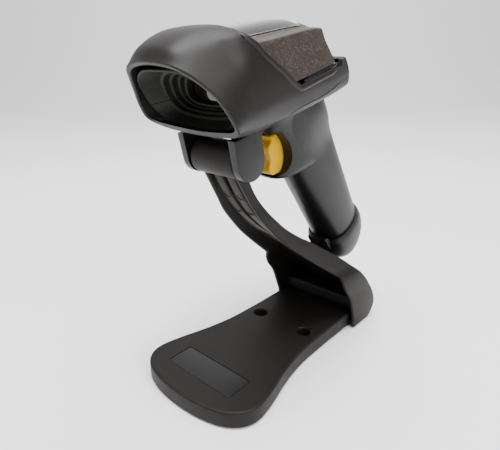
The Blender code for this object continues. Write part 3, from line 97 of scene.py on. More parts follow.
class HeadSizes(bpy.types.PropertyGroup):
    """Fine shape of the scanner."""

    around: IntProperty(
        name="Skin steps around", description="Steps per span round the boot", default=7, min=2, max=12
    )
    along: IntProperty(
        name="Skin steps along", description="Steps per span along the boot", default=9, min=2, max=16
    )
    lip_radius: FloatProperty(
        name="Lip radius", description="Half the width of the boot's rear lip, in mm",
        default=1.7, min=0.3, max=3.0,
    )
    rim_radius: FloatProperty(
        name="Rim radius", description="Half the width of the bead on the boot's front rim, in mm",
        default=1.25, min=0.3, max=3.0,
    )
    finger_groove: FloatProperty(
        name="Finger groove", description="Depth of the hollow in the trigger's front, in mm",
        default=1.2, min=0.0, max=2.5,
    )


class FinishColours(bpy.types.PropertyGroup):
    """Colours of the scanner's plastics and rubbers."""

    boot: FloatVectorProperty(
        name="Boot", description="Soft-touch rubber over the nose", subtype="COLOR_GAMMA", size=3,
        default=(0x17 / 255, 0x14 / 255, 0x13 / 255), min=0.0, max=1.0,
    )
    cover: FloatVectorProperty(
        name="Cover", description="Spark-textured top cover", subtype="COLOR_GAMMA", size=3,
        default=(0x2C / 255, 0x24 / 255, 0x20 / 255), min=0.0, max=1.0,
    )
    grip: FloatVectorProperty(
        name="Grip", description="Satin ABS of the grip", subtype="COLOR_GAMMA", size=3,
        default=(0x0E / 255, 0x0E / 255, 0x0E / 255), min=0.0, max=1.0,
    )
    trigger: FloatVectorProperty(
        name="Trigger", description="Yellow ABS of the trigger", subtype="COLOR_GAMMA", size=3,
        default=(0xC4 / 255, 0x94 / 255, 0x00 / 255), min=0.0, max=1.0,
    )


# ---------------------------------------------------------------- places and curves


def at_stand(x, y, z):
    """A stand point in metres, in the row frame."""
    return Vector((x, y + STAND_SHIFT, z)) * MM


def at_head(x, s, h):
    """A head point in metres, in the row frame."""
    c, n = math.cos(PITCH), math.sin(PITCH)
    return Vector((x, HINGE.y - s * c - h * n, HINGE.z - s * n + h * c)) * MM


def behind_hinge(x, back, h):
    """A head point given by its distance back from the hinge."""
    return at_head(x, -back, h)


def at_grip(x, along, across):
    """A point of the grip: along its axis from the hinge level, and across it from front to rear."""
    s = -along * math.sin(RAKE) - across * math.cos(RAKE)
    h = -along * math.cos(RAKE) + across * math.sin(RAKE)
    return at_head(x, s, h)


def between(a, b, share):
    return tuple(p + (q - p) * share for p, q in zip(a, b))


def catmull(before, a, b, after, t):
    """A point on the smooth curve from a to b."""
    return tuple(
        0.5 * (2 * q + (r - p) * t + (2 * p - 5 * q + 4 * r - s) * t * t + (3 * q - p - 3 * r + s) * t**3)
        for p, q, r, s in zip(before, a, b, after)
    )


def smooth_line(points, per_span, first=None, last=None):
    """A smooth curve through the points; first and last are the neighbours beyond its ends."""
    first = first or tuple(2 * a - b for a, b in zip(points[0], points[1]))
    last = last or tuple(2 * a - b for a, b in zip(points[-1], points[-2]))
    knots = [first, *points, last]
    line = []
    for k in range(1, len(knots) - 2):
        for step in range(per_span):
            line.append(catmull(*knots[k - 1 : k + 3], step / per_span))
    line.append(tuple(points[-1]))
    return line


def mirrored(half):
    """A closed ring from the half at +x, whose first and last points lie on the middle plane."""
    return list(half) + [(-point[0], *point[1:]) for point in half[-2:0:-1]]


def resampled(line, count):
    """The same line with count evenly spaced points."""
    lengths = [0.0]
    for a, b in zip(line, line[1:]):
        lengths.append(lengths[-1] + math.dist(a, b))
    picked = []
    span = 0
    for k in range(count):
        wanted = lengths[-1] * k / (count - 1)
        while span < len(line) - 2 and lengths[span + 1] < wanted:
            span += 1
        share = (wanted - lengths[span]) / max(lengths[span + 1] - lengths[span], 1e-9)
        picked.append(between(line[span], line[span + 1], share))
    return picked


def inset(outline, distance):
    """A closed anticlockwise (x, y) outline moved inwards by a distance."""
    count = len(outline)
    moved = []
    for k in range(count):
        before, after = Vector(outline[k - 1]), Vector(outline[(k + 1) % count])
        along = (after - before).normalized()
        moved.append((outline[k][0] - along.y * distance, outline[k][1] + along.x * distance))
    return moved


def rounded_box(half_x, low, high, radius, steps=8):
    """A rectangle with round corners, anticlockwise."""
    corners = (
        (half_x - radius, high - radius, 0.0), (-half_x + radius, high - radius, 90.0),
        (-half_x + radius, low + radius, 180.0), (half_x - radius, low + radius, 270.0),
    )
    outline = []
    for x, y, start in corners:
        for step in range(steps + 1):
            angle = math.radians(start + 90.0 * step / steps)
            outline.append((x + radius * math.cos(angle), y + radius * math.sin(angle)))
    return outline


def superellipse(half_x, half_y, power, count):
    """Points of a rounded outline between an ellipse (power 2) and a rectangle."""
    outline = []
    for k in range(count):
        angle = 2.0 * math.pi * k / count
        c, s = math.cos(angle), math.sin(angle)
        x, y = math.copysign(abs(c) ** (2.0 / power), c), math.copysign(abs(s) ** (2.0 / power), s)
        outline.append((half_x * x, half_y * y))
    return outline


# ---------------------------------------------------------------- meshes


def solid(name, rings, hollow=False, smooth=32.0, flat_caps=False):
    """A closed mesh through rings of placed points: capped, or joined end to end when hollow."""
    count = len(rings[0])
    points = [point for ring in rings for point in ring]
    faces = []
    spans = len(rings) if hollow else len(rings) - 1
    for k in range(spans):
        a, b = k * count, ((k + 1) % len(rings)) * count
        faces += [(a + i, a + (i + 1) % count, b + (i + 1) % count, b + i) for i in range(count)]
    if not hollow:
        for start, ring in ((0, rings[0]), ((len(rings) - 1) * count, rings[-1])):
            if flat_caps:
                faces.append(tuple(range(start, start + count)))
                continue
            points.append(sum((Vector(point) for point in ring), Vector()) / count)
            faces += [(start + i, start + (i + 1) % count, len(points) - 1) for i in range(count)]
    mesh = bpy.data.meshes.new(name)
    mesh.from_pydata(points, [], faces)
    shape = bmesh.new()
    shape.from_mesh(mesh)
    bmesh.ops.recalc_face_normals(shape, faces=shape.faces)
    shape.to_mesh(mesh)
    shape.free()
    made = bpy.data.objects.new(name, mesh)
    bpy.context.scene.collection.objects.link(made)
    made["smooth"] = smooth
    return made


def slab(name, outline, low, high, place, edge=0.0, smooth=32.0):
    """An outline between two levels, its far edge rounded by edge; place takes (a, b, level)."""
    levels = [(low, 0.0)]
    if edge:
        rounds = [math.radians(90.0 * k / 4) for k in range(5)]
        levels += [(high - edge * (1 - math.sin(a)), edge * (1 - math.cos(a))) for a in rounds]
    else:
        levels.append((high, 0.0))
    rings = [[place(a, b, z) for a, b in inset(outline, r)] for z, r in levels]
    return solid(name, rings, smooth=smooth, flat_caps=True)


def turned(name, profile, centre, direction, place, sides=48, hollow=False):
    """A turned piece: profile holds (radius, distance along the axis) pairs; centre is not placed yet."""
    turn = Vector(direction).to_track_quat("Z", "Y").to_matrix()
    rings = []
    for radius, along in profile:
        ring = []
        for k in range(sides):
            angle = 2.0 * math.pi * k / sides
            offset = turn @ Vector((radius * math.cos(angle), radius * math.sin(angle), along))
            ring.append(place(*(Vector(centre) + offset)))
        rings.append(ring)
    return solid(name, rings, hollow)


def rod(name, radius, start, end, place, sides=32):
    """A plain round bar between two points."""
    along = Vector(end) - Vector(start)
    return turned(name, [(radius, 0.0), (radius, along.length)], start, along, place, sides)


def bead(name, line, radius_across, radius_up, closed=False, ups=None):
    """A soft bead of elliptic section along placed points; ups gives its upward direction at each point."""
    rings = []
    count = len(line)
    for k, point in enumerate(line):
        before = line[k - 1] if (k or closed) else line[k]
        after = line[(k + 1) % count] if (k + 1 < count or closed) else line[k]
        tangent = (Vector(after) - Vector(before)).normalized()
        up = Vector(ups[k]) - tangent * tangent.dot(Vector(ups[k]))
        up.normalize()
        side = tangent.cross(up)
        fade = 1.0 if closed else min(1.0, 0.25 + min(k, count - 1 - k) / 4.0)
        ring = []
        for i in range(14):
            angle = 2.0 * math.pi * i / 14
            offset = side * math.cos(angle) * radius_across + up * math.sin(angle) * radius_up
            ring.append(Vector(point) + offset * MM * fade)
        rings.append(ring)
    return solid(name, rings, hollow=closed, smooth=60.0)


def combine(target, other, operation):
    step = target.modifiers.new(other.name, "BOOLEAN")
    step.operation = operation
    step.solver = "EXACT"
    step.object = other
    other.hide_render = True


def cut(target, other):
    combine(target, other, "DIFFERENCE")


def join(target, other):
    combine(target, other, "UNION")


def keep(target, other):
    combine(target, other, "INTERSECT")


def settle(target):
    """Turns the modifiers into a final mesh, shades it, and clears the cutters away."""
    tools = [step.object for step in target.modifiers if step.type == "BOOLEAN"]
    for step in list(tools):
        if step.modifiers:
            settle(step)
    seen = target.evaluated_get(bpy.context.evaluated_depsgraph_get())
    mesh = bpy.data.meshes.new_from_object(seen)
    target.modifiers.clear()
    old = target.data
    target.data = mesh
    bpy.data.meshes.remove(old)
    mesh.name = target.name
    mesh.shade_smooth()
    mesh.set_sharp_from_angle(angle=math.radians(target["smooth"]))
    for other in tools:
        bpy.data.objects.remove(other, do_unlink=True)
    del target["smooth"]
    return target


def fit(piece, body, slot, *nodes):
    """Settles a piece and gives it its finish, its body, its slot and the solids that it stands for."""
    settle(piece)
    piece.data.materials.clear()
    piece.data.materials.append(FINISHES[slot])
    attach(piece, body)
    if nodes:
        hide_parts(*nodes)
    return piece


# ---------------------------------------------------------------- finishes


def srgb(code):
    """A hex colour, or three sRGB numbers, as linear numbers."""
    if isinstance(code, str):
        code = [int(code[k : k + 2], 16) / 255.0 for k in (1, 3, 5)]
    return [c / 12.92 if c <= 0.04045 else ((c + 0.055) / 1.055) ** 2.4 for c in code]


def add(tree, kind, settings=None, links=None):
    """Adds a node; settings name its attributes or sockets, links map its sockets to (node, output)."""
    node = tree.nodes.new("ShaderNode" + kind)
    for key, value in (settings or {}).items():
        if isinstance(key, str) and hasattr(node, key):
            setattr(node, key, value)
        else:
            node.inputs[key].default_value = value
    for key, (source, output) in (links or {}).items():
        tree.links.new(source.outputs[output], node.inputs[key])
    return node


def surface(name, colour, roughness, **shader_settings):
    """A material with its shader set; returns the material, its tree, its shader and its coordinates."""
    made = bpy.data.materials.new(name)
    made.use_nodes = True
    tree = made.node_tree
    shader = tree.nodes["Principled BSDF"]
    shader.inputs["Base Color"].default_value = (*srgb(colour), 1.0)
    shader.inputs["Roughness"].default_value = roughness
    for key, value in shader_settings.items():
        shader.inputs[key.replace("_", " ")].default_value = value
    where = add(tree, "TexCoord")
    return made, tree, shader, where


def mottle(tree, shader, where, colour, spread, size_mm, roughness, rough_spread):
    """Slow change of colour and roughness over patches of the given size."""
    noise = {"Scale": 1.0 / (size_mm * MM), "Detail": 4.0}
    patches = add(tree, "TexNoise", noise, {"Vector": (where, "Object")})
    dark = [c * (1.0 - spread) for c in srgb(colour)]
    light = [min(1.0, c * (1.0 + spread)) for c in srgb(colour)]
    shades = {"data_type": "RGBA", 6: (*dark, 1.0), 7: (*light, 1.0)}
    tone = add(tree, "Mix", shades, {0: (patches, "Fac")})
    tree.links.new(tone.outputs[2], shader.inputs["Base Color"])
    low, high = roughness - rough_spread, roughness + rough_spread
    rough = add(tree, "MapRange", {"To Min": low, "To Max": high}, {"Value": (patches, "Fac")})
    tree.links.new(rough.outputs["Result"], shader.inputs["Roughness"])
    return tone


def grain(tree, shader, where, size_mm, depth_mm, strength=1.0, kind="TexNoise"):
    """Fine relief of a moulded or cast surface, from the size and the depth of its grain in mm. Grain finer
    than about 0.5 mm doesn't show, so the finishes ask for a coarser one than the real."""
    scale = {"Scale": 1.0 / (size_mm * MM)}
    if kind == "TexNoise":
        scale["Detail"] = 2.0
    relief = add(tree, kind, scale, {"Vector": (where, "Object")})
    height = (relief, "Fac" if kind == "TexNoise" else "Distance")
    bump = add(tree, "Bump", {"Strength": strength, "Distance": depth_mm * MM}, {"Height": height})
    tree.links.new(bump.outputs["Normal"], shader.inputs["Normal"])


def moulded_abs(colour):
    """ABS from a spark-eroded mould: a fine even grain that spreads every highlight. The real grain of
    about 0.15 mm is too fine to show, so it is drawn at 0.7 mm."""
    made, tree, shader, where = surface(
        "moulded_abs_stand", colour, 0.52, IOR=1.53, Specular_IOR_Level=0.16
    )
    mottle(tree, shader, where, colour, 0.10, 9.0, 0.52, 0.05)
    grain(tree, shader, where, 0.7, 0.06, 0.55)
    return made


def soft_touch_rubber(colour):
    """Soft-touch rubber: matt with a faint velvety light at grazing angles. Its grain of about 0.1 mm is
    too fine to show, so it is drawn at 0.9 mm and shallow."""
    made, tree, shader, where = surface(
        "soft_touch_rubber_boot", colour, 0.44, IOR=1.52, Specular_IOR_Level=0.24,
        Sheen_Weight=0.02, Sheen_Roughness=0.4,
    )
    mottle(tree, shader, where, colour, 0.07, 14.0, 0.44, 0.04)
    grain(tree, shader, where, 0.9, 0.03, 0.4)
    return made


def spark_textured_abs(colour):
    """Brown-grey ABS with a coarse spark texture whose tiny facets glitter; the glitter is painted into its colour
    as pale specks, painted glints. The real facets of about 0.25 mm are too fine to show, so they are drawn at 0.6
    mm."""
    made, tree, shader, where = surface(
        "spark_textured_abs_cover", colour, 0.42, IOR=1.53, Specular_IOR_Level=0.42
    )
    tone = mottle(tree, shader, where, colour, 0.12, 6.0, 0.44, 0.07)
    # Painted glints: pale specks mixed into the colour stand in for light glittering off the tiny facets.
    specks = add(tree, "TexVoronoi", {"Scale": 1.0 / (0.6 * MM)}, {"Vector": (where, "Object")})
    few = {"From Min": 0.62, "From Max": 0.95, "To Max": 0.12}
    painted_glint_mask = add(tree, "MapRange", few, {"Value": (specks, "Color")})
    painted_glint_colour = {"data_type": "RGBA", 7: (*srgb("#b5a79d"), 1.0)}
    bright = add(tree, "Mix", painted_glint_colour, {0: (painted_glint_mask, "Result"), 6: (tone, 2)})
    tree.links.new(bright.outputs[2], shader.inputs["Base Color"])
    grain(tree, shader, where, 0.6, 0.07, 0.6, "TexVoronoi")
    return made


def satin_abs(colour):
    """Satin ABS of the grip: tight long highlights over a barely visible grain, drawn at 0.8 mm because
    the real 0.1 mm doesn't show."""
    made, tree, shader, where = surface("satin_abs_grip", colour, 0.36, IOR=1.53, Specular_IOR_Level=0.28)
    mottle(tree, shader, where, colour, 0.08, 12.0, 0.36, 0.04)
    grain(tree, shader, where, 0.8, 0.025, 0.4)
    return made


def polished_acrylic():
    """Polished black acrylic: a mirror-like skin over deep black, with the faintest flow waviness."""
    made, tree, shader, where = surface(
        "polished_black_acrylic", "#0b0c11", 0.06, IOR=1.49, Coat_Weight=0.6, Coat_Roughness=0.03
    )
    grain(tree, shader, where, 22.0, 0.05, 0.25)
    return made


def yellow_abs(colour):
    """Yellow ABS, gently glossy."""
    made, tree, shader, where = surface(
        "yellow_abs_trigger", colour, 0.42, IOR=1.53, Specular_IOR_Level=0.12
    )
    mottle(tree, shader, where, colour, 0.04, 7.0, 0.34, 0.03)
    grain(tree, shader, where, 0.8, 0.02, 0.35)
    return made


def shroud_abs():
    """Dark greenish-black ABS of the light shroud, eroded matt so that it throws no light back."""
    made, tree, shader, where = surface(
        "matt_abs_shroud", "#131510", 0.46, IOR=1.53, Specular_IOR_Level=0.22
    )
    mottle(tree, shader, where, "#131510", 0.12, 5.0, 0.52, 0.05)
    grain(tree, shader, where, 0.5, 0.03, 0.5)
    return made


def filter_glass():
    """Dark red filter pane: near black from outside, polished, with a hint of red in its depth, turning dark green
    towards grazing angles as a painted reflection.
    """
    made, tree, shader, where = surface(
        "red_filter_pane", "#14050a", 0.04, IOR=1.52, Coat_Weight=0.4, Coat_Roughness=0.02
    )
    # Painted reflection: the colour goes from the pane's own red face-on to dark green at grazing angles.
    facing = add(tree, "LayerWeight", {"Blend": 0.35})
    red_to_painted_reflection = {"data_type": "RGBA", 6: (*srgb("#1c060a"), 1.0), 7: (*srgb("#07130c"), 1.0)}
    tint = add(tree, "Mix", red_to_painted_reflection, {0: (facing, "Facing")})
    tree.links.new(tint.outputs[2], shader.inputs["Base Color"])
    grain(tree, shader, where, 18.0, 0.02, 0.2)
    return made


def rolled_steel(name, colour, roughness, brushed_mm):
    """Steel: fine lengthwise scratches break its highlight. Zinc plate is pale, black oxide nearly black.
    The scratches are drawn wider than the real ones, which are too fine to show."""
    made, tree, shader, where = surface(name, colour, roughness, Metallic=1.0)
    stretched = add(tree, "Mapping", {"Scale": (1.0, 14.0, 1.0)}, {"Vector": (where, "Object")})
    noise = {"Scale": 1.0 / (brushed_mm * MM), "Detail": 3.0}
    lines = add(tree, "TexNoise", noise, {"Vector": (stretched, "Vector")})
    low, high = roughness - 0.07, roughness + 0.10
    rough = add(tree, "MapRange", {"To Min": low, "To Max": high}, {"Value": (lines, "Fac")})
    tree.links.new(rough.outputs["Result"], shader.inputs["Roughness"])
    bump = add(tree, "Bump", {"Strength": 0.25, "Distance": 0.02 * MM}, {"Height": (lines, "Fac")})
    tree.links.new(bump.outputs["Normal"], shader.inputs["Normal"])
    return made


def cast_rubber(name, colour, roughness):
    """Black rubber of pads and lead: dusty matt, with a pitted skin."""
    made, tree, shader, where = surface(name, colour, roughness, IOR=1.52, Specular_IOR_Level=0.35)
    mottle(tree, shader, where, colour, 0.25, 3.0, roughness, 0.06)
    grain(tree, shader, where, 0.6, 0.05, 0.7)
    return made


def small_moulding(name, colour, roughness):
    """Nylon and filled plastics of the small inner pieces: plain moulded skin with slight flow marks."""
    made, tree, shader, where = surface(name, colour, roughness, IOR=1.53)
    mottle(tree, shader, where, colour, 0.08, 4.0, roughness, 0.05)
    grain(tree, shader, where, 0.6, 0.02, 0.4)
    return made


def solder_mask_laminate():
    """Green glass-epoxy board: thin copper tracks show as paler lines under the mask."""
    made, tree, shader, where = surface("solder_mask_laminate", "#0f4a26", 0.34, IOR=1.55, Coat_Weight=0.3)
    pattern = {
        "Color1": (*srgb("#0f4a26"), 1.0), "Color2": (*srgb("#12552c"), 1.0),
        "Mortar": (*srgb("#3f8a4a"), 1.0), "Scale": 1.0 / (6.0 * MM), "Mortar Size": 0.03,
    }
    tracks = add(tree, "TexBrick", pattern, {"Vector": (where, "Object")})
    tree.links.new(tracks.outputs["Color"], shader.inputs["Base Color"])
    grain(tree, shader, where, 1.2, 0.02, 0.3)
    return made


def clear_moulding(name, colour, roughness):
    """Clear acrylic and cast epoxy: light passes through and bends at its edges."""
    made, tree, shader, where = surface(name, colour, roughness, IOR=1.49, Transmission_Weight=0.85)
    grain(tree, shader, where, 9.0, 0.02, 0.2)
    return made


def make_finishes(scene):
    """The finish of each of the record's slots, for the pieces and for the solids that stay in view."""
    stand, colours = scene.stand_sizes, scene.finish_colours
    return {
        "stand_plastic": moulded_abs(stand.plastic),
        "boot_rubber": soft_touch_rubber(colours.boot),
        "cover_plastic": spark_textured_abs(colours.cover),
        "shell_plastic": satin_abs(colours.grip),
        "gloss_panel": polished_acrylic(),
        "trigger_plastic": yellow_abs(colours.trigger),
        "hood_plastic": shroud_abs(),
        "scan_glass": filter_glass(),
        "bright_steel": rolled_steel("zinc_plated_steel", "#b9b8b1", 0.30, 2.5),
        "dark_screw_steel": rolled_steel("black_oxide_steel", "#35332f", 0.42, 2.5),
        "ballast_steel": rolled_steel("mill_finish_steel", "#8f8e8a", 0.45, 4.0),
        "pad_rubber": cast_rubber("cast_pad_rubber", "#1c1b1a", 0.80),
        "lead_jacket": cast_rubber("extruded_lead_jacket", "#19191a", 0.55),
        "nylon": small_moulding("natural_nylon", "#c9c4b4", 0.48),
        "black_plastic": small_moulding("filled_black_nylon", "#18181a", 0.50),
        "led_epoxy": clear_moulding("cast_led_epoxy", "#e8e2c4", 0.12),
        "clear_plastic": clear_moulding("clear_acrylic_guide", "#e6eef0", 0.10),
        "board_laminate": solder_mask_laminate(),
    }


# ---------------------------------------------------------------- stand

BASE_LENGTH, BASE_HALF_WIDTH = 132.0, 41.6
BASE_BOTTOM, BASE_TOP, BASE_REAR, BASE_WALL = 0.9, 10.8, 7.7, 2.2
BASE_SHAPE = [
    (0.0, 1.0), (0.385, 0.991), (0.70, 0.964), (0.88, 0.926), (0.975, 0.88), (1.0, 0.833),
    (0.98, 0.78), (0.928, 0.708), (0.837, 0.606), (0.774, 0.515), (0.725, 0.394), (0.708, 0.205),
    (0.708, 0.08),
]
DESK_HOLE_X, DESK_HOLE_Y, DESK_HOLE_RADIUS, DESK_HOLE_SEAT, DESK_BORE_RADIUS = 18.6, -38.6, 4.75, 4.6, 2.3
BOSS_BOTTOM, BOSS_WALL = 2.9, 1.6
TONGUE_HALF_WIDTH, TONGUE_BOTTOM, TONGUE_TOP, TONGUE_LENGTH = 20.0, 3.4, 8.4, 12.0
LABEL_HALF_WIDTH, LABEL_LENGTH, LABEL_DEPTH = 25.7, 18.0, 0.4
LABEL_FRONT = -0.886 * BASE_LENGTH


def base_outline():
    """The base seen from above, anticlockwise: curved front and waist, square rear."""
    half = [(x * BASE_HALF_WIDTH, -y * BASE_LENGTH) for x, y in BASE_SHAPE]
    half = smooth_line(half, 8, first=(-half[1][0], half[1][1]))
    half.append((half[-1][0], BASE_REAR))
    return half + [(-x, y) for x, y in reversed(half[1:])]


def build_base():
    """The base shell with its rounded top edge, desk-screw wells, and a blank plate in its recess."""
    edge = bpy.context.scene.stand_sizes.edge_radius
    outline = base_outline()
    levels = [(BASE_BOTTOM, 0.35), (BASE_BOTTOM + 0.35, 0.0)]
    for k in range(7):
        angle = math.radians(90.0 * k / 6)
        levels.append((BASE_TOP - edge * (1 - math.sin(angle)), edge * (1 - math.cos(angle))))
    levels.append((BASE_TOP, edge + 0.6))
    rings = [[at_stand(x, y, z) for x, y in inset(outline, r)] for z, r in levels]
    shell = solid("base_top_shell", rings, flat_caps=True, smooth=28.0)
    ceiling = BASE_TOP - BASE_WALL
    cut(shell, slab("cavity", inset(outline, BASE_WALL), -3.0, ceiling, at_stand))
    for side in (1, -1):
        x, radius = side * DESK_HOLE_X, DESK_HOLE_RADIUS
        foot, head = (x, DESK_HOLE_Y, BOSS_BOTTOM), (x, DESK_HOLE_Y, ceiling + 0.5)
        join(shell, rod(f"boss_{side}", radius + BOSS_WALL, foot, head, at_stand, 48))
        steps = [
            (DESK_BORE_RADIUS, -3.0), (DESK_BORE_RADIUS, DESK_HOLE_SEAT), (radius, DESK_HOLE_SEAT),
            (radius, BASE_TOP - 0.5), (radius + 0.6, BASE_TOP + 0.1), (radius + 0.6, BASE_TOP + 3.0),
        ]
        cut(shell, turned(f"well_{side}", steps, (x, DESK_HOLE_Y, 0.0), (0, 0, 1), at_stand, 48))
    tongue = [(TONGUE_HALF_WIDTH, BASE_REAR - 3.2), (TONGUE_HALF_WIDTH, BASE_REAR + TONGUE_LENGTH)]
    tongue = tongue + [(-x, y) for x, y in reversed(tongue)]
    join(shell, slab("tongue", tongue, TONGUE_BOTTOM, TONGUE_TOP, at_stand))
    for side in (1, -1):
        x, y = side * 0.6 * TONGUE_HALF_WIDTH, BASE_REAR + 0.6 * TONGUE_LENGTH
        cut(shell, rod(f"tongue_hole_{side}", 1.6, (x, y, 0.0), (x, y, TONGUE_TOP - 0.8), at_stand, 24))
    recess = rounded_box(LABEL_HALF_WIDTH, LABEL_FRONT, LABEL_FRONT + LABEL_LENGTH, 1.2)
    floor = BASE_TOP - LABEL_DEPTH
    cut(shell, slab("label_recess", recess, floor, BASE_TOP + 2.0, at_stand))
    fit(shell, "stand", "stand_plastic", "base_shell")
    plate = slab("blank_label_plate", inset(recess, 0.35), floor + 0.02, floor + 0.22, at_stand, edge=0.1)
    fit(plate, "stand", "shell_plastic")


NECK_FRONT = [
    (13.0, -96.0, 131.0), (13.2, -91.3, 123.0), (13.5, -87.6, 116.5), (14.3, -82.6, 108.2),
    (15.8, -76.8, 99.1), (17.1, -68.9, 89.7), (19.4, -57.9, 78.6), (23.4, -42.0, 65.2),
    (29.3, -22.6, 50.2), (32.7, -17.4, 46.0), (34.0, -15.6, 40.5), (34.4, -12.8, 35.2),
    (34.4, -7.6, 28.3), (34.6, -4.4, 21.5), (34.4, -1.2, 12.7), (34.2, 0.4, 8.0), (34.0, 1.0, 0.9),
]
NECK_BACK = [
    (-85.0, 131.0), (-82.8, 122.0), (-78.8, 113.8), (-74.2, 107.3), (-66.9, 98.8), (-55.6, 88.2),
    (-44.1, 79.8), (-33.6, 73.4), (-18.6, 62.9), (-6.1, 54.2), (10.0, 40.2), (24.1, 23.4),
    (29.8, 11.4), (28.0, 4.8), (23.0, 0.9),
]
NECK_WEB, NECK_FLANGE, NECK_BLOCK_TOP = 3.0, 2.8, 18.5
BARREL_RADIUS, BARREL_HALF_LENGTH, BOLT_RADIUS = 9.6, 15.0, 2.4
RIB_WIDTH, RIB_GROOVE, RIB_EDGE, RIB_REACH = 6.4, 3.0, 0.9, 0.46
TIP_FLATNESS = 0.7


def neck_curves(stations):
    """Front edge (half-width, y, z) and back line (y, z) with matching stations."""
    return resampled(smooth_line(NECK_FRONT, 12), stations), resampled(smooth_line(NECK_BACK, 12), stations)


def channel_section(half_width, depth, web, radius):
    """A C section from the middle of its back round one flange and back along its inside: (x, rise)."""
    inner = half_width - NECK_FLANGE
    half = [(0.0, 0.0), (half_width * 0.5, 0.0)]
    for k in range(5):
        angle = math.radians(90.0 * k / 4)
        x = half_width - radius * (1 - math.sin(angle))
        half.append((x, radius * (1 - math.cos(angle))))
    tip = NECK_FLANGE / 2.0
    for k in range(7):
        angle = math.radians(180.0 * k / 6)
        rise = depth - TIP_FLATNESS * tip * (1.0 - math.sin(angle))
        half.append((half_width - tip + tip * math.cos(angle), rise))
    fillet = min(1.6, 0.4 * max(depth - web, 0.1))
    for k in range(5):
        angle = math.radians(90.0 * k / 4)
        half.append((inner - fillet * (1 - math.cos(angle)), web + fillet * (1 - math.sin(angle))))
    half += [(inner * 0.5, web), (0.0, web)]
    return mirrored(half)


def build_neck():
    """The neck: a C section swept along its S curve, the block over the base joint, ribs and barrel."""
    sizes = bpy.context.scene.stand_sizes
    front, back = neck_curves(sizes.stations)
    rings = []
    for k, ((w, fy, fz), (by, bz)) in enumerate(zip(front, back)):
        before, after = back[max(k - 1, 0)], back[min(k + 1, len(back) - 1)]
        tangent = Vector((after[0] - before[0], after[1] - before[1])).normalized()
        rise = Vector((fy - by, fz - bz))
        depth = rise.length
        rise.normalize()
        web = NECK_WEB / max(0.4, abs(rise.dot(Vector((tangent.y, -tangent.x)))))
        section = channel_section(w, depth, min(web, depth - 2.0), sizes.flange_radius)
        rings.append([at_stand(x, by + rise.x * u, bz + rise.y * u) for x, u in section])
    neck = solid("neck_channel", rings, flat_caps=True, smooth=40.0)
    inner = front[-1][0] - 1.0
    top = NECK_BLOCK_TOP
    step = [(8.0, BASE_BOTTOM), (8.0, top - 1.2), (8.4, top - 0.4), (9.2, top), (25.2, top)]
    step += [(27.6, 11.4), (26.4, 4.8), (22.0, 1.4), (22.0, BASE_BOTTOM)]
    sides = [[at_stand(x, y, z) for y, z in step] for x in (-inner, inner)]
    block = solid("joint_block", sides, flat_caps=True)
    join(neck, block)
    pocket = slab(
        "tongue_pocket",
        rounded_box(TONGUE_HALF_WIDTH + GAP, BASE_REAR - 1.0, BASE_REAR + TONGUE_LENGTH + GAP, 0.2, 2),
        TONGUE_BOTTOM - GAP, TONGUE_TOP + GAP, at_stand,
    )
    cut(neck, pocket)
    for side in (1, -1):
        x, y = side * 0.6 * TONGUE_HALF_WIDTH, BASE_REAR + 0.6 * TONGUE_LENGTH
        steps = [(3.0, -1.0), (3.0, 2.2), (1.6, 2.2), (1.6, TONGUE_BOTTOM + 1.0)]
        cut(neck, turned(f"screw_way_{side}", steps, (x, y, 0.0), (0, 0, 1), at_stand, 32))
        join(neck, build_rib(side, front, back))
    axis = (0.0, DRAWN_HINGE_Y, HINGE.z)
    profile = [(BARREL_RADIUS - 1.0, -BARREL_HALF_LENGTH)]
    for k in range(5):
        angle = math.radians(90.0 * k / 4)
        profile.append((BARREL_RADIUS - 1.0 + math.sin(angle), -BARREL_HALF_LENGTH + 1.0 - math.cos(angle)))
    profile = profile[1:] + [(r, -a) for r, a in reversed(profile[1:])]
    join(neck, turned("barrel", profile, axis, (1, 0, 0), at_stand, 72))
    bore = BOLT_RADIUS + GAP
    cut(neck, rod("barrel_bore", bore, (-20.0, axis[1], axis[2]), (20.0, axis[1], axis[2]), at_stand, 40))
    fit(neck, "stand", "stand_plastic", "neck_frame")


def rib_rise(station, stations):
    """How far a rib stands towards the open side of the channel; it sinks on its way down."""
    return 0.78 - 0.50 * (station / (stations - 1)) ** 1.5


def build_rib(side, front, back):
    """One of the two ribs on the web below the barrel, its top edges rounded."""
    inner, outer = RIB_GROOVE / 2.0, RIB_GROOVE / 2.0 + RIB_WIDTH
    stations = int(RIB_REACH * len(front))
    rings = []
    for k in range(stations):
        (w, fy, fz), (by, bz) = front[k], back[k]
        rise = rib_rise(k, stations)
        wide = min(outer, w - NECK_FLANGE + 0.8)
        base, top = Vector(between((by, bz), (fy, fz), 0.12)), Vector(between((by, bz), (fy, fz), rise))
        up = (top - base).normalized()
        section = [(inner, 0.0)]
        level = (top - base).length - RIB_EDGE
        for start, corner in ((180.0, inner + RIB_EDGE), (90.0, wide - RIB_EDGE)):
            for step in range(4):
                angle = math.radians(start - 30.0 * step)
                section.append((corner + RIB_EDGE * math.cos(angle), level + RIB_EDGE * math.sin(angle)))
        section.append((wide, 0.0))
        rings.append([at_stand(side * x, base.x + up.x * u, base.y + up.y * u) for x, u in section])
    return solid(f"web_rib_{side}", rings, flat_caps=True)


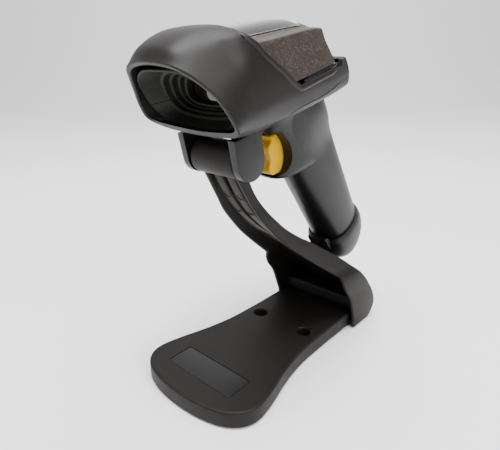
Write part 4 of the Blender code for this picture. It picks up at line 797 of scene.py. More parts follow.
def build_ejector_marks():
    """The round marks that the mould's ejector pins left on the ribs."""
    front, back = neck_curves(80)
    for name, side in (("left", 1), ("right", -1)):
        for number, station in enumerate((10, 16)):
            (_, fy, fz), (by, bz) = front[station], back[station]
            rise = rib_rise(station, int(RIB_REACH * len(front)))
            spot = Vector((side * (RIB_GROOVE + RIB_WIDTH) / 2.0, *between((by, bz), (fy, fz), rise)))
            out = Vector((0.0, fy - by, fz - bz)).normalized()
            before, after = front[station - 1], front[station + 1]
            along = Vector((0.0, after[1] - before[1], after[2] - before[2])).normalized()
            normal = along.cross(Vector((1, 0, 0)))
            normal = normal if normal.dot(out) > 0 else -normal
            profile = [(2.0, -0.35), (2.3, -0.35), (2.3, 0.12), (2.15, 0.2), (2.0, 0.12)]
            label = f"ejector_mark_{name}_{number + 1}"
            ring = turned(label, profile, spot, normal, at_stand, 40, hollow=True)
            fit(ring, "stand", "stand_plastic")


# ---------------------------------------------------------------- nose boot

SKIN = [
    [(0, 33.5, 57), (12, 32.3, 55.6), (19.6, 30.2, 52.4), (25.0, 26.6, 47.0), (29.5, 23, 40),
     (32.6, 19.9, 31), (32.4, 17, 23.5), (26, 13, 18.4), (13, 11.2, 16.2), (0, 10.5, 15.5)],
    [(0, 27, 61.8), (12, 26, 60.8), (19.4, 23.6, 56.2), (25.4, 20, 49.0), (29.8, 16.5, 42.0),
     (32.2, 13.5, 32.5), (31.8, 10.5, 24), (26, 7, 17.2), (13, 5.5, 14.8), (0, 5, 14.3)],
    [(0, 14, 65.0), (13, 13.5, 64.0), (21.6, 12.5, 59.2), (26.6, 10, 51.4), (30.6, 7.5, 43.6),
     (31.8, 4.5, 33), (31.3, 2, 24), (26, -1, 16.5), (13, -2, 13.4), (0, -2, 12.9)],
    [(0, 0, 64.6), (14, 0, 63.8), (25.0, -0.5, 60.2), (28.9, -2, 54.0), (31.0, -4, 45),
     (31.8, -6, 33), (31.2, -8, 24), (26, -10, 16), (13, -11, 13), (0, -11, 12.8)],
    [(0, -30, 61.5), (14, -30, 60.5), (24.5, -30, 57), (29, -30, 52), (31.2, -30, 44),
     (31.6, -30, 33), (31, -30, 23.5), (27, -30, 15.5), (13, -30, 12.8), (0, -30, 12.8)],
    [(0, -58, 57), (13, -58, 56), (23, -58, 53), (28, -60, 48.5), (30.2, -61, 42),
     (31, -62, 32), (30.6, -62, 23), (27, -61, 15.5), (13, -60, 13), (0, -60, 13)],
    [(0, -70, 50), (12, -70, 49), (20, -70.5, 46.5), (25, -71.5, 43), (27.8, -73.5, 38),
     (29.2, -76.6, 31), (28.9, -79.0, 22.6), (26, -78.4, 15.8), (12, -75, 14), (0, -75, 14)],
]
BOOT_EDGE = [
    (0.4, 75), (0.4, 66), (0, 64), (-0.8, 60.5), (-3.6, 57.3), (-7.0, 53.8), (-9.4, 49.6),
    (-17.9, 41.2), (-25.5, 33.4), (-31.4, 28.6), (-50, 29.0), (-69.4, 29.4), (-71.4, 32.6), (-90, 32.8),
]
BOOT_WALL, FLOOR_BOTTOM, FLOOR_THICKNESS, FLOOR_HALF_WIDTH = 2.6, 12.9, 4.8, 21.0
SKIN_CACHE = {}


def skin_rings(offset=0.0, around=7, along=9):
    """The skin as closed rings of (x, s, h), moved inwards by offset along its own normals."""
    if (offset, around, along) in SKIN_CACHE:
        return SKIN_CACHE[(offset, around, along)]
    halves = []
    for row in SKIN:
        halves.append(smooth_line(row, around, (-row[1][0], *row[1][1:]), (-row[-2][0], *row[-2][1:])))
    columns = [smooth_line([half[k] for half in halves], along) for k in range(len(halves[0]))]
    rings = [mirrored([column[row] for column in columns]) for row in range(len(columns[0]))]
    if offset:
        count = len(rings[0])
        moved = []
        for r, ring in enumerate(rings):
            before, after = rings[max(r - 1, 0)], rings[min(r + 1, len(rings) - 1)]
            new_ring = []
            for k, point in enumerate(ring):
                along_row = Vector(after[k]) - Vector(before[k])
                around_row = Vector(ring[(k + 1) % count]) - Vector(ring[k - 1])
                normal = along_row.cross(around_row).normalized()
                new_ring.append(tuple(Vector(point) - normal * offset))
            moved.append(new_ring)
        rings = moved
    SKIN_CACHE[(offset, around, along)] = rings
    return rings


def skin_solid(name, offset, overshoot=0.0):
    """The skin as a closed solid with a rounded rear; overshoot pushes its front end through the rim."""
    sizes = bpy.context.scene.head_sizes
    rings = list(skin_rings(offset, sizes.around, sizes.along))
    if overshoot:
        ahead = []
        for a, b in zip(rings[0], rings[1]):
            ahead.append(tuple(Vector(a) + (Vector(a) - Vector(b)).normalized() * overshoot))
        rings = [ahead] + rings
    rear = rings[-1]
    if offset:
        rear = [tuple(Vector(point) + Vector((0, offset, 0))) for point in rear]
        rings[-1] = rear
    middle = sum((Vector(point) for point in rear), Vector()) / len(rear)
    for share, back in ((0.965, 0.7), (0.90, 1.5), (0.80, 2.0), (0.70, 2.2)):
        step = Vector((0, back * (1.0 - offset / 2.2 * 0.9), 0))
        rings.append([tuple(middle + (Vector(point) - middle) * share - step) for point in rear])
    return solid(name, [[at_head(*point) for point in ring] for ring in rings], smooth=40.0)


def side_prism(name, outline, half_width=60.0):
    """A cutter from a side view (s, h) outline."""
    sides = [[at_head(x, s, h) for s, h in outline] for x in (-half_width, half_width)]
    return solid(name, sides, flat_caps=True)


def smooth_edge():
    """The boot's rear edge with its kinks eased, as (s, h)."""
    upper = smooth_line(BOOT_EDGE[2:10], 5)
    return BOOT_EDGE[:2] + upper + BOOT_EDGE[10:]


def build_boot():
    """The soft boot: its skin and cut-outs, the rolled front rim and the lip along its rear edge."""
    boot = skin_solid("nose_boot_skin", 0.0)
    cut(boot, skin_solid("boot_hollow", BOOT_WALL, overshoot=4.0))
    keep(boot, side_prism("boot_side_view", smooth_edge() + [(-90, 0), (45, 0), (45, 75)]))
    opening = rounded_box(FLOOR_HALF_WIDTH + GAP, -4.0, 76.4, 5.0)
    top = FLOOR_BOTTOM + FLOOR_THICKNESS + GAP
    cut(boot, slab("boot_opening", opening, 5.0, top, behind_hinge))
    fit(boot, "scanner", "boot_rubber", "nose_boot")
    build_rim_bead()
    build_lip()
    build_tail_panels()


def build_rim_bead():
    """The rolled bead round the mouth of the boot, half sunk in its rim."""
    sizes = bpy.context.scene.head_sizes
    outer = skin_rings(0.0, sizes.around, sizes.along)[0]
    inner = skin_rings(BOOT_WALL, sizes.around, sizes.along)[0]
    behind = skin_rings(0.0, sizes.around, sizes.along)[1]
    line, ups = [], []
    for a, b, c in zip(outer, inner, behind):
        spot = Vector(a) + (Vector(b) - Vector(a)) * 0.48 - (Vector(a) - Vector(c)).normalized() * 0.25
        line.append(at_head(*spot))
        ups.append(at_head(*a) - at_head(*c))
    rim = bead("nose_rim_bead", line, sizes.rim_radius, 0.85, closed=True, ups=ups)
    fit(rim, "scanner", "boot_rubber")


def skin_crossing(s, h, side):
    """The skin's point at a side-view place, found by walking its rings, with the outward normal."""
    sizes = bpy.context.scene.head_sizes
    rings = skin_rings(0.0, sizes.around, sizes.along)
    half = len(rings[0]) // 2
    best, found, normal = 1e9, None, None
    for r in range(len(rings) - 1):
        for k in range(half):
            a, b, c = rings[r][k], rings[r][k + 1], rings[r + 1][k]
            away = (a[1] - s) ** 2 + (a[2] - h) ** 2
            if away < best:
                best = away
                u, v = Vector(b) - Vector(a), Vector(c) - Vector(a)
                normal = v.cross(u).normalized()
                drop = Vector((0.0, s - a[1], h - a[2]))
                x = a[0]
                if abs(normal.x) > 0.15:
                    x -= (drop.y * normal.y + drop.z * normal.z) / normal.x
                found = (x, s, h)
    return Vector((side * found[0], found[1], found[2])), Vector((side * normal.x, normal.y, normal.z))


def build_lip():
    """The raised lip along the boot's rear edge, from one tail over the nose to the other."""
    sizes = bpy.context.scene.head_sizes
    edge = [point for point in smooth_edge() if -66.0 <= point[0] and point[1] <= 59.5]
    edge = resampled(edge + [(-66.0, 29.3)], 44)
    side_points = [skin_crossing(s + 0.9, h - 0.2, 1) for s, h in edge]
    line = [at_head(*(point - normal * 0.25)) for point, normal in side_points]
    ups = [at_head(*(point + normal)) - at_head(*point) for point, normal in side_points]
    top = []
    first = side_points[0][0]
    for k in range(1, 9):
        share = k / 9.0
        x = first.x * (1.0 - share * 2.0)
        lift = 1.0 - (x / first.x) ** 2
        crown = Vector((x, first.y + 1.4 * lift, first.z + 4.9 * lift**0.7 - 0.4))
        top.append((crown, Vector((0, 0.1, 1))))
    mirror_line = [Vector((-point.x, point.y, point.z)) for point in line]
    mirror_ups = [Vector((-up.x, up.y, up.z)) for up in ups]
    across = [at_head(*point) for point, _ in top]
    over = [at_head(*(point + normal)) - at_head(*point) for point, normal in top]
    whole = list(reversed(line)) + across + mirror_line
    whole_ups = list(reversed(ups)) + over + mirror_ups
    lip = bead("boot_rear_lip", whole, sizes.lip_radius, 1.05, ups=whole_ups)
    fit(lip, "scanner", "boot_rubber")


TAIL_LINE = [(-73.0, 22.0), (-62.0, 19.6), (-50.0, 18.2), (-32.0, 18.4), (-19.0, 16.8)]


def build_tail_panels():
    """The fine crease line along the lower side of each tail."""
    for name, side in (("left", 1), ("right", -1)):
        points = [skin_crossing(s, h, side) for s, h in smooth_line(TAIL_LINE, 6)]
        line = [at_head(*(point - normal * 0.25)) for point, normal in points]
        ups = [at_head(*(point + normal)) - at_head(*point) for point, normal in points]
        crease = bead(f"tail_crease_{name}", line, 0.9, 0.45, ups=ups)
        fit(crease, "scanner", "boot_rubber")


# ---------------------------------------------------------------- top cover, window and strips

COVER_ROWS = [
    [(0, 6, 60.6), (10, 6, 60.2), (19.6, 5.5, 57.8), (20.8, 5, 57.4),
     (26.2, 5, 56.4), (27.6, 4, 49.6), (29.4, 2, 41), (31.0, 0, 32.6)],
    [(0, -15, 60.2), (10, -15, 59.6), (19.6, -15, 55.0), (20.8, -15, 54.9),
     (26.2, -15, 54.0), (27.6, -15, 47.2), (29.4, -15, 40), (31.0, -15, 32.6)],
    [(0, -35, 59.3), (10, -35, 58.5), (19.6, -35, 53.6), (20.8, -35, 53.8),
     (26.2, -35, 53.0), (27.4, -35, 46.2), (29.4, -35, 39.6), (31.0, -35, 32.8)],
    [(0, -51, 57.6), (10, -51, 56.8), (19.4, -51, 52.4), (20.6, -51, 52.8),
     (26.0, -51, 52.0), (27.0, -51, 45.4), (29.0, -51.4, 39.2), (30.6, -52, 33.0)],
    [(0, -61.0, 54.4), (9.6, -61.0, 53.8), (18.6, -61.0, 50.8), (19.8, -61.0, 51.2),
     (25.0, -61.0, 50.6), (26.2, -61.8, 44.4), (28.0, -63.0, 38.8), (29.6, -64.4, 33.2)],
]
COVER_WALL, WINDOW_WALL = 2.2, 1.6
WINDOW_HALF_WIDTH, WINDOW_FRONT, WINDOW_REAR, WINDOW_CORNER = 17.6, -6.0, -56.5, 5.0
STRIP_BOTTOM, STRIP_TOP, DECK_THICKNESS = 28.6, 32.3, 2.2


def rounded_half(half, rounding):
    """A half section with its lid crowned smoothly and its rail corners cut by small arcs."""
    lid = smooth_line(half[:3], 4, first=(-half[1][0], *half[1][1:]))
    line = lid[:-1]
    corners = half[2:7]
    for k, corner in enumerate(corners):
        before = half[1 + k]
        after = half[3 + k]
        a, b = Vector(before) - Vector(corner), Vector(after) - Vector(corner)
        reach = min(rounding, 0.4 * a.length, 0.4 * b.length)
        start, end = Vector(corner) + a.normalized() * reach, Vector(corner) + b.normalized() * reach
        for step in range(4):
            t = step / 3.0
            point = start * (1 - t) ** 2 + Vector(corner) * 2 * t * (1 - t) + end * t * t
            line.append(tuple(point))
    line.append(half[7])
    return line


def cover_rings(offset, low, along=10, rounding=1.0):
    """Filled sections of the cover, from the lid's middle down to the level low."""
    columns = [smooth_line([row[k] for row in COVER_ROWS], along) for k in range(len(COVER_ROWS[0]))]
    rings = []
    for r in range(len(columns[0])):
        half = [column[r] for column in columns]
        if rounding:
            half = rounded_half(half, rounding)
        if offset:
            shifted = []
            for k, (x, s, h) in enumerate(half):
                before = half[k - 1] if k else (-half[1][0], *half[1][1:])
                last = (2 * x - half[k - 1][0], s, 2 * h - half[k - 1][2])
                after = half[k + 1] if k + 1 < len(half) else last
                run = Vector((after[0] - before[0], after[2] - before[2])).normalized()
                shifted.append((x + run.y * offset, s, h - run.x * offset))
            half = shifted
            half[0] = (0, *half[0][1:])
        x, s, h = half[-1]
        half.append((x, s, low))
        rings.append(mirrored(half + [(0, s, low)]))
    return rings


def window_outline(margin, steps=8):
    """The window seen from above, drawn in by a margin."""
    half, front, rear = WINDOW_HALF_WIDTH - margin, -WINDOW_FRONT + margin, -WINDOW_REAR - margin
    return rounded_box(half, front, rear, WINDOW_CORNER - margin, steps)


def window_prism(name, margin):
    return slab(name, window_outline(margin), 46.0, 75.0, behind_hinge)


def placed(rings):
    return [[at_head(*point) for point in ring] for ring in rings]


def build_cover():
    """The hard cover behind the boot, with rounded rails, its window hole and the deck behind it."""
    level = STRIP_TOP + GAP
    rings = cover_rings(0.0, level)
    cover = solid("textured_cover", placed(rings), smooth=30.0)
    inner = cover_rings(COVER_WALL, level - 10.0, 4, 0.0)
    inner[-1] = [(x, s + COVER_WALL, h) for x, s, h in inner[-1]]
    cut(cover, solid("cover_hollow", placed(inner)))
    low = level + 0.4 - DECK_THICKNESS
    deck = rounded_box(24.6, 60.2, 73.0, 4.0)
    join(cover, slab("rear_deck", deck, low, low + DECK_THICKNESS, behind_hinge, edge=0.5))
    edge = [(s - GAP, h + GAP) for s, h in smooth_edge()]
    front = [(s, h) for s, h in edge if s > -32.0]
    rear = [(s + GAP, h + GAP) for s, h in BOOT_EDGE[-3:]]
    view = front + [(-60.0, 27.0), (-68.0, 27.0), *rear, (-89.7, 75.3)]
    keep(cover, side_prism("cover_side_view", view))
    cut(cover, window_prism("window_hole", 0.0))
    fit(cover, "scanner", "cover_plastic", "top_cover")


def build_window():
    """The polished panel in the lid and its bright edge line."""
    panel = solid("lid_window", placed(cover_rings(0.0, 20.0)), smooth=30.0)
    keep(panel, window_prism("window_outline", GAP))
    cut(panel, solid("window_underside", placed(cover_rings(WINDOW_WALL, 10.0, 4, 0.0))))
    fit(panel, "scanner", "gloss_panel", "top_window")
    half, front, rear = WINDOW_HALF_WIDTH - 0.9, -WINDOW_FRONT + 0.9, -WINDOW_REAR - 0.9
    outline = rounded_box(half, front, rear, 4.2, 10)
    around = resampled(outline + outline[:1], 121)[:-1]
    line = [behind_hinge(x, back, lid_height(x, -back) - 0.05) for x, back in around]
    ups = [at_head(0, 0, 1) - at_head(0, 0, 0)] * len(line)
    trim = bead("window_bright_trim", line, 0.42, 0.22, closed=True, ups=ups)
    fit(trim, "scanner", "bright_steel")


def lid_height(x, s):
    """Height of the lid at a place, from the cover's sections."""
    columns = [smooth_line([row[k] for row in COVER_ROWS], 10) for k in range(3)]
    r = min(range(len(columns[0])), key=lambda k: abs(columns[0][k][1] - s))
    lid = smooth_line([column[r] for column in columns], 8, first=(-columns[1][r][0], *columns[1][r][1:]))
    for a, b in zip(lid, lid[1:]):
        if a[0] <= abs(x) <= b[0]:
            return a[2] + (b[2] - a[2]) * (abs(x) - a[0]) / max(b[0] - a[0], 1e-6)
    return lid[-1][2]


def build_strips():
    """The polished strip between cover and tail on each side, thicker in its middle."""
    for name, side in (("left", 1), ("right", -1)):
        path = resampled(smooth_line([(30.9, -34.6), (30.9, -48.0), (30.2, -60.0), (29.2, -68.6)], 8), 30)
        rings = []
        for k, (x, s) in enumerate(path):
            ends = min(1.0, 0.35 + min(k, len(path) - 1 - k) / 5.0)
            low, high = STRIP_BOTTOM + 0.02 * (-31.4 - s) + 2 * GAP, STRIP_TOP
            middle, half = (low + high) / 2.0, (high - low) / 2.0 * ends
            section = superellipse(1.0, half, 4.0, 20)
            rings.append([at_head(side * (x - 1.0 + u), s, middle + v) for u, v in section])
        strip = solid("gloss_strip_" + name, rings, smooth=50.0)
        fit(strip, "scanner", "gloss_panel", "side_strip_" + name)


# ---------------------------------------------------------------- grip

HANDLE_LENGTH, RAKE, FOOT_LENGTH, FOOT_WALL = 118.0, math.radians(24.5), 25.5, 2.6
GRIP_HALF_WIDTH, GRIP_FRONT, GRIP_WALL, GRIP_FLARE, CAVITY_FLARE = 15.5, 32.6, 2.4, 5.5, 2.0
GRIP_REAR = [
    (-0.10, 72.0), (0.10, 74.4), (0.27, 76.8), (0.36, 75.4), (0.55, 73.2), (0.77, 70.8), (1.0, 68.4),
    (1.25, 67.0),
]
CAVITY_REAR = [
    (-0.12, 61.0), (0.10, 67.0), (0.27, 74.0), (0.36, 73.0), (0.55, 70.8), (0.77, 68.4), (1.0, 66.0),
    (1.25, 64.6),
]
HOUSING = [
    (-25.6, -31.5, -82.0, 13.6), (-23.0, -30.6, -82.0, 14.8), (-12.0, -30.0, -78.0, 15.0),
    (0.0, -28.5, -75.0, 15.6), (8.0, -25.0, -74.0, 17.2), (14.0, -20.0, -72.0, 19.6),
]
TRIGGER_FRONT = [(-31.6, 0.4), (-31.8, -2.1), (-28.3, -5.2), (-28.3, -12.3), (-26.4, -18.6), (-29.7, -22.0)]
TRIGGER_REAR = [(-35.1, -22.9), (-43.4, -21.6), (-46.8, -17.4), (-47.6, -11.4), (-46.0, -5.0), (-40.7, 1.6)]
# Rear edge of the opening in the housing's sides, ahead of the trigger's own rear edge
TRIGGER_OPENING = [
    (-33.6, 3.4), (-38.4, -4.6), (-39.8, -11.2), (-38.8, -17.2), (-35.6, -21.4), (-31.4, -24.0),
]
TRIGGER_HALF_WIDTH, TRIGGER_BACK, TRIGGER_ROOM_REAR = 6.9, -50.2, -54.2
PIN_S, PIN_H, PIN_RADIUS, PIN_HALF_LENGTH = -45.4, -0.4, 1.3, 10.5
LUG_INNER, LUG_THICKNESS, LUG_RADIUS = 16.1, 4.6, 9.9
BOLT_HEAD_RADIUS, BOLT_HEAD_LENGTH, NUT_HALF_FLATS, NUT_LENGTH = 4.4, 2.4, 4.0, 2.7
SCREW_RADIUS, SCREW_HEAD_RADIUS = 1.3, 2.7
GRIP_SCREWS = [(0.30, 60.0), (0.92, 52.5)]
FLOOR_SCREWS = [(11.0, -1.0), (17.4, -68.6)]


def read_line(table, share):
    """The value at a share of the handle length, on a smooth line through the table."""
    line = smooth_line(table, 6)
    for (a, low), (b, high) in zip(line, line[1:]):
        if share <= b:
            return low + (high - low) * (share - a) / (b - a)
    return line[-1][1]


def grip_rings(first, last, stations, wall=0.0, sides=72):
    """Rings of the grip square to its axis; with a wall they are the room inside it."""
    rings = []
    for k in range(stations):
        share = first + (last - first) * k / (stations - 1)
        front = GRIP_FRONT + wall
        rear = read_line(CAVITY_REAR if wall else GRIP_REAR, share) - (wall - 2.4 if wall else 0.0)
        middle, half = (front + rear) / 2.0, (rear - front) / 2.0
        spread = min(1.0, max(0.0, (0.42 - share) / 0.30))
        flare = (CAVITY_FLARE if wall else GRIP_FLARE) * spread * spread * (3.0 - 2.0 * spread)
        outline = superellipse(GRIP_HALF_WIDTH - wall + flare, half, 2.35, sides)
        rings.append([at_grip(x, share * HANDLE_LENGTH, middle + y) for x, y in outline])
    return rings


def level_slab(name, half_width, front, rear, radius, low, high, edge=0.0):
    """A plate square to the scanner's upright, with round corners."""
    return slab(name, rounded_box(half_width, -front, -rear, radius), low, high, behind_hinge, edge)


def head_rod(name, radius, start, end, sides=32):
    return rod(name, radius, start, end, at_head, sides)


def grip_rod(name, radius, start, end, sides=32):
    return rod(name, radius, start, end, at_grip, sides)


def build_handle_half(name, node, side):
    """One half of the grip, with its half of the floor, the trigger housing and one rounded hinge lug."""
    body = solid(name, grip_rings(-0.10, 1.0, 34), smooth=30.0)
    above = [(45.0, FLOOR_BOTTOM + 1.37), (45.0, 80.0), (-140.0, 80.0), (-140.0, FLOOR_BOTTOM + 1.37)]
    cut(body, side_prism(name + "_above", above))
    housing = []
    for h, front, rear, half_width in smooth_line(HOUSING, 5):
        middle, half = (front + rear) / 2.0, (front - rear) / 2.0
        housing.append([at_head(x, middle + y, h) for x, y in superellipse(half_width, half, 2.9, 72)])
    join(body, solid(name + "_housing", housing, flat_caps=True))
    top = FLOOR_BOTTOM + FLOOR_THICKNESS
    join(body, level_slab(name + "_floor", FLOOR_HALF_WIDTH, 3.7, -75.2, 4.7, FLOOR_BOTTOM, top))
    join(body, level_slab(name + "_flange", FLOOR_HALF_WIDTH - 1.2, 1.0, -67.0, 5.5, top - 0.1, top + 2.0))
    join(body, build_lug(name, side))
    cut(body, solid(name + "_cavity", grip_rings(-0.12, 1.05, 26, GRIP_WALL, 56)))
    view = [(-10.0, 3.4)] + smooth_line(TRIGGER_OPENING, 8) + [(-24.0, -23.7), (-10.0, -23.7)]
    cut(body, side_prism(name + "_trigger_view", view, 40.0))
    room = [(-20.0, 2.7), (TRIGGER_ROOM_REAR, 2.7), (TRIGGER_ROOM_REAR, -24.2), (-20.0, -24.2)]
    cut(body, side_prism(name + "_trigger_room", room, TRIGGER_HALF_WIDTH + 0.5))
    reach = PIN_HALF_LENGTH + GAP
    cut(body, head_rod(name + "_pin_hole", PIN_RADIUS + GAP, (-reach, PIN_S, PIN_H), (reach, PIN_S, PIN_H)))
    for number, (share, across) in enumerate(GRIP_SCREWS):
        along = share * HANDLE_LENGTH
        join(body, grip_rod(f"{name}_post_{number}", 4.0, (-14.6, along, across), (14.6, along, across)))
        seat = -GRIP_HALF_WIDTH + 3.6
        head = SCREW_HEAD_RADIUS + GAP
        steps = [(head, -30.0), (head, seat), (SCREW_RADIUS + GAP, seat), (SCREW_RADIUS + GAP, 11.0)]
        cut(body, turned(f"{name}_drill_{number}", steps, (0.0, along, across), (1, 0, 0), at_grip, 32))
    if side > 0:
        hexagon = (NUT_HALF_FLATS + GAP) / math.cos(math.radians(30.0))
        depth = LUG_INNER + NUT_LENGTH + 2 * GAP
        pocket = [(hexagon, 5.0), (hexagon, depth)]
        cut(body, turned(name + "_nut", pocket, (0, 0, 0), (1, 0, 0), at_head, 6))
    else:
        seat = -(LUG_INNER + LUG_THICKNESS - 2 * GAP - BOLT_HEAD_LENGTH)
        steps = [(BOLT_HEAD_RADIUS + GAP, -40.0), (BOLT_HEAD_RADIUS + GAP, seat)]
        steps += [(BOLT_RADIUS + GAP, seat), (BOLT_RADIUS + GAP, -5.0)]
        cut(body, turned(name + "_bolt", steps, (0, 0, 0), (1, 0, 0), at_head, 40))
    for number, (x, s) in enumerate(FLOOR_SCREWS):
        seat = FLOOR_BOTTOM + 1.9
        steps = [(3.0, 10.2), (3.0, seat), (SCREW_RADIUS + GAP, seat), (SCREW_RADIUS + GAP, 40.0)]
        cut(body, turned(f"{name}_floor_hole_{number}", steps, (side * x, s, 0.0), (0, 0, 1), at_head, 32))
    near, far = side * GAP / 2.0, side * 60.0
    around_all = ((-0.2, -0.05), (0.3, -0.05), (0.3, 0.4), (-0.2, 0.4))
    half = [[Vector((x * MM, y, z)) for y, z in around_all] for x in (near, far)]
    keep(body, solid(name + "_half", half, flat_caps=True))
    fit(body, "scanner", "shell_plastic", node)


def build_lug(name, side):
    """A hinge lug with a round end and a rounded outer edge."""
    outline = []
    for k in range(37):
        angle = math.radians(180.0 + 180.0 * k / 36)
        outline.append((LUG_RADIUS * math.cos(angle), LUG_RADIUS * math.sin(angle)))
    outline += [(LUG_RADIUS, FLOOR_BOTTOM + 1.7), (-LUG_RADIUS, FLOOR_BOTTOM + 1.7)]

    def place(s, h, x):
        return at_head(side * x, s, h)

    return slab(name + "_lug", outline, LUG_INNER, LUG_INNER + LUG_THICKNESS, place, edge=0.9)


FOOT_PROFILE = [
    (GAP, 31.2, 69.4, 16.4), (3.5, 28.6, 70.0, 17.2), (8.0, 28.2, 69.9, 17.4), (14.0, 28.6, 68.4, 17.0),
    (19.5, 30.0, 64.2, 16.0), (23.6, 32.6, 59.0, 14.4), (FOOT_LENGTH, 35.0, 56.0, 12.6),
]


def foot_rings(profile, shrink=0.0, sides=72):
    rings = []
    for along, front, rear, half_width in profile:
        middle, half = (front + rear) / 2.0, (rear - front) / 2.0 - shrink
        outline = superellipse(half_width - shrink, half, 2.5, sides)
        rings.append([at_grip(x, HANDLE_LENGTH + along, middle + y) for x, y in outline])
    return rings


def build_foot():
    """The cap on the grip's end, with its front lip and the mouth of the cable socket."""
    foot = solid("grip_foot", foot_rings(smooth_line(FOOT_PROFILE, 5)), smooth=35.0)
    lip = [(-4.6, 28.8), (-4.2, 31.4), (4.0, 32.6), (4.0, 28.5)]
    sections = []
    for x in (-8.0, -7.4, -6.5, 6.5, 7.4, 8.0):
        sink = 0.9 if abs(x) > 7.5 else (0.3 if abs(x) > 7.0 else 0.0)
        sections.append([at_grip(x, HANDLE_LENGTH + a + sink, e) for a, e in lip])
    join(foot, solid("foot_lip", sections, flat_caps=True))
    floor = (FOOT_LENGTH - FOOT_WALL - 2.6, 33.0, 61.0, 14.6)
    inner = [(-6.0, *FOOT_PROFILE[0][1:]), *FOOT_PROFILE[1:-2], floor]
    cut(foot, solid("foot_hollow", foot_rings(inner, FOOT_WALL, 56)))
    mouth = rounded_box(6.6, -5.6, 5.6, 1.0, 4)
    ends = []
    for along, grow in ((FOOT_LENGTH - 12.0, 0.0), (FOOT_LENGTH - 0.9, 0.0), (FOOT_LENGTH + 1.0, 1.6)):
        wide = inset(mouth, -grow)
        ends.append([at_grip(x, HANDLE_LENGTH + along, 46.5 + y) for x, y in wide])
    cut(foot, solid("foot_mouth", ends, flat_caps=True))
    fit(foot, "scanner", "shell_plastic", "handle_foot")


def build_trigger():
    """The trigger: round edges all round its side view and a finger groove down its front."""
    groove = bpy.context.scene.head_sizes.finger_groove
    back = [(-46.0, 1.9), (-49.2, 1.5), (TRIGGER_BACK, -0.2), (TRIGGER_BACK, -17.0), (-47.0, -21.5)]
    front = smooth_line(TRIGGER_FRONT + [TRIGGER_REAR[0]], 6)
    outline = list(reversed(front)) + [(-40.7, 1.9)] + back
    outline = resampled(outline + outline[:1], 121)[:-1]
    turning = sum(a[0] * b[1] - b[0] * a[1] for a, b in zip(outline, outline[1:] + outline[:1]))
    if turning < 0:
        outline.reverse()
    rings = []
    for k in range(25):
        angle = math.pi * k / 24
        x = -TRIGGER_HALF_WIDTH * math.cos(angle)
        edge = max(0.0, abs(x) - (TRIGGER_HALF_WIDTH - 1.3)) / 1.3
        shrink = 1.3 * (1.0 - math.sqrt(max(0.0, 1.0 - edge * edge)))
        ring = []
        for s, h in inset(outline, shrink):
            forward = min(1.0, max(0.0, (s + 36.0) / 5.0)) * min(1.0, max(0.0, (h + 21.5) / 5.0))
            forward *= min(1.0, max(0.0, (-1.0 - h) / 3.0))
            ring.append(at_head(x, s - groove * forward * (1.0 - (x / TRIGGER_HALF_WIDTH) ** 2), h))
        rings.append(ring)
    trigger = solid("finger_trigger", rings, flat_caps=True, smooth=40.0)
    cut(trigger, head_rod("trigger_bore", PIN_RADIUS + GAP, (-20, PIN_S, PIN_H), (20, PIN_S, PIN_H)))
    front, rear, low, high = PIN_S + 3.6, PIN_S - 30.0, PIN_H - 8.0, PIN_H + 12.0
    notch = [(front, high), (rear, high), (rear, low), (front, low)]
    cut(trigger, side_prism("spring_notch", notch, 2.6))
    fit(trigger, "trigger", "trigger_plastic", "trigger")


# ---------------------------------------------------------------- shroud and pane

HOOD_SHAPE = [
    (0.0, 1.0), (0.45, 0.96), (0.78, 0.66), (0.93, 0.22), (1.0, -0.2), (0.96, -0.52), (0.78, -0.84),
    (0.4, -0.97), (0.0, -1.0),
]
HOOD_INSIDE = [
    (27.8, 18.8, 18.6, 34.8, 28.5), (26.8, 17.9, 18.9, 34.8, 28.5), (22.6, 14.4, 10.6, 35.2, 25.0),
    (20.8, 12.9, 10.4, 35.2, 24.5), (20.2, 12.4, 7.4, 35.3, 22.5), (18.6, 11.1, 7.2, 35.3, 22.0),
    (18.0, 10.6, 4.4, 35.4, 20.0), (16.6, 9.5, 4.2, 35.4, 18.0), (16.0, 9.0, 2.2, 35.5, 12.0),
    (14.6, 7.9, 2.0, 35.5, 10.0), (14.2, 7.6, -1.2, 35.5, 0.0),
]
HOOD_WALL, HOOD_SEAM, PANE_FRONT, WINDOW_PANE = 1.6, 31.0, -1.8, 1.2


def hood_ring(half_width, half_height, s, h, tilt):
    """One ring of the funnel, tilted forward at its top."""
    first, last = (-HOOD_SHAPE[1][0], HOOD_SHAPE[1][1]), (-HOOD_SHAPE[-2][0], HOOD_SHAPE[-2][1])
    lean = math.radians(tilt)
    ring = []
    for x, v in mirrored(smooth_line(HOOD_SHAPE, 7, first, last)):
        up = v * half_height
        ring.append(at_head(x * half_width, s + up * math.sin(lean), h + up * math.cos(lean)))
    return ring


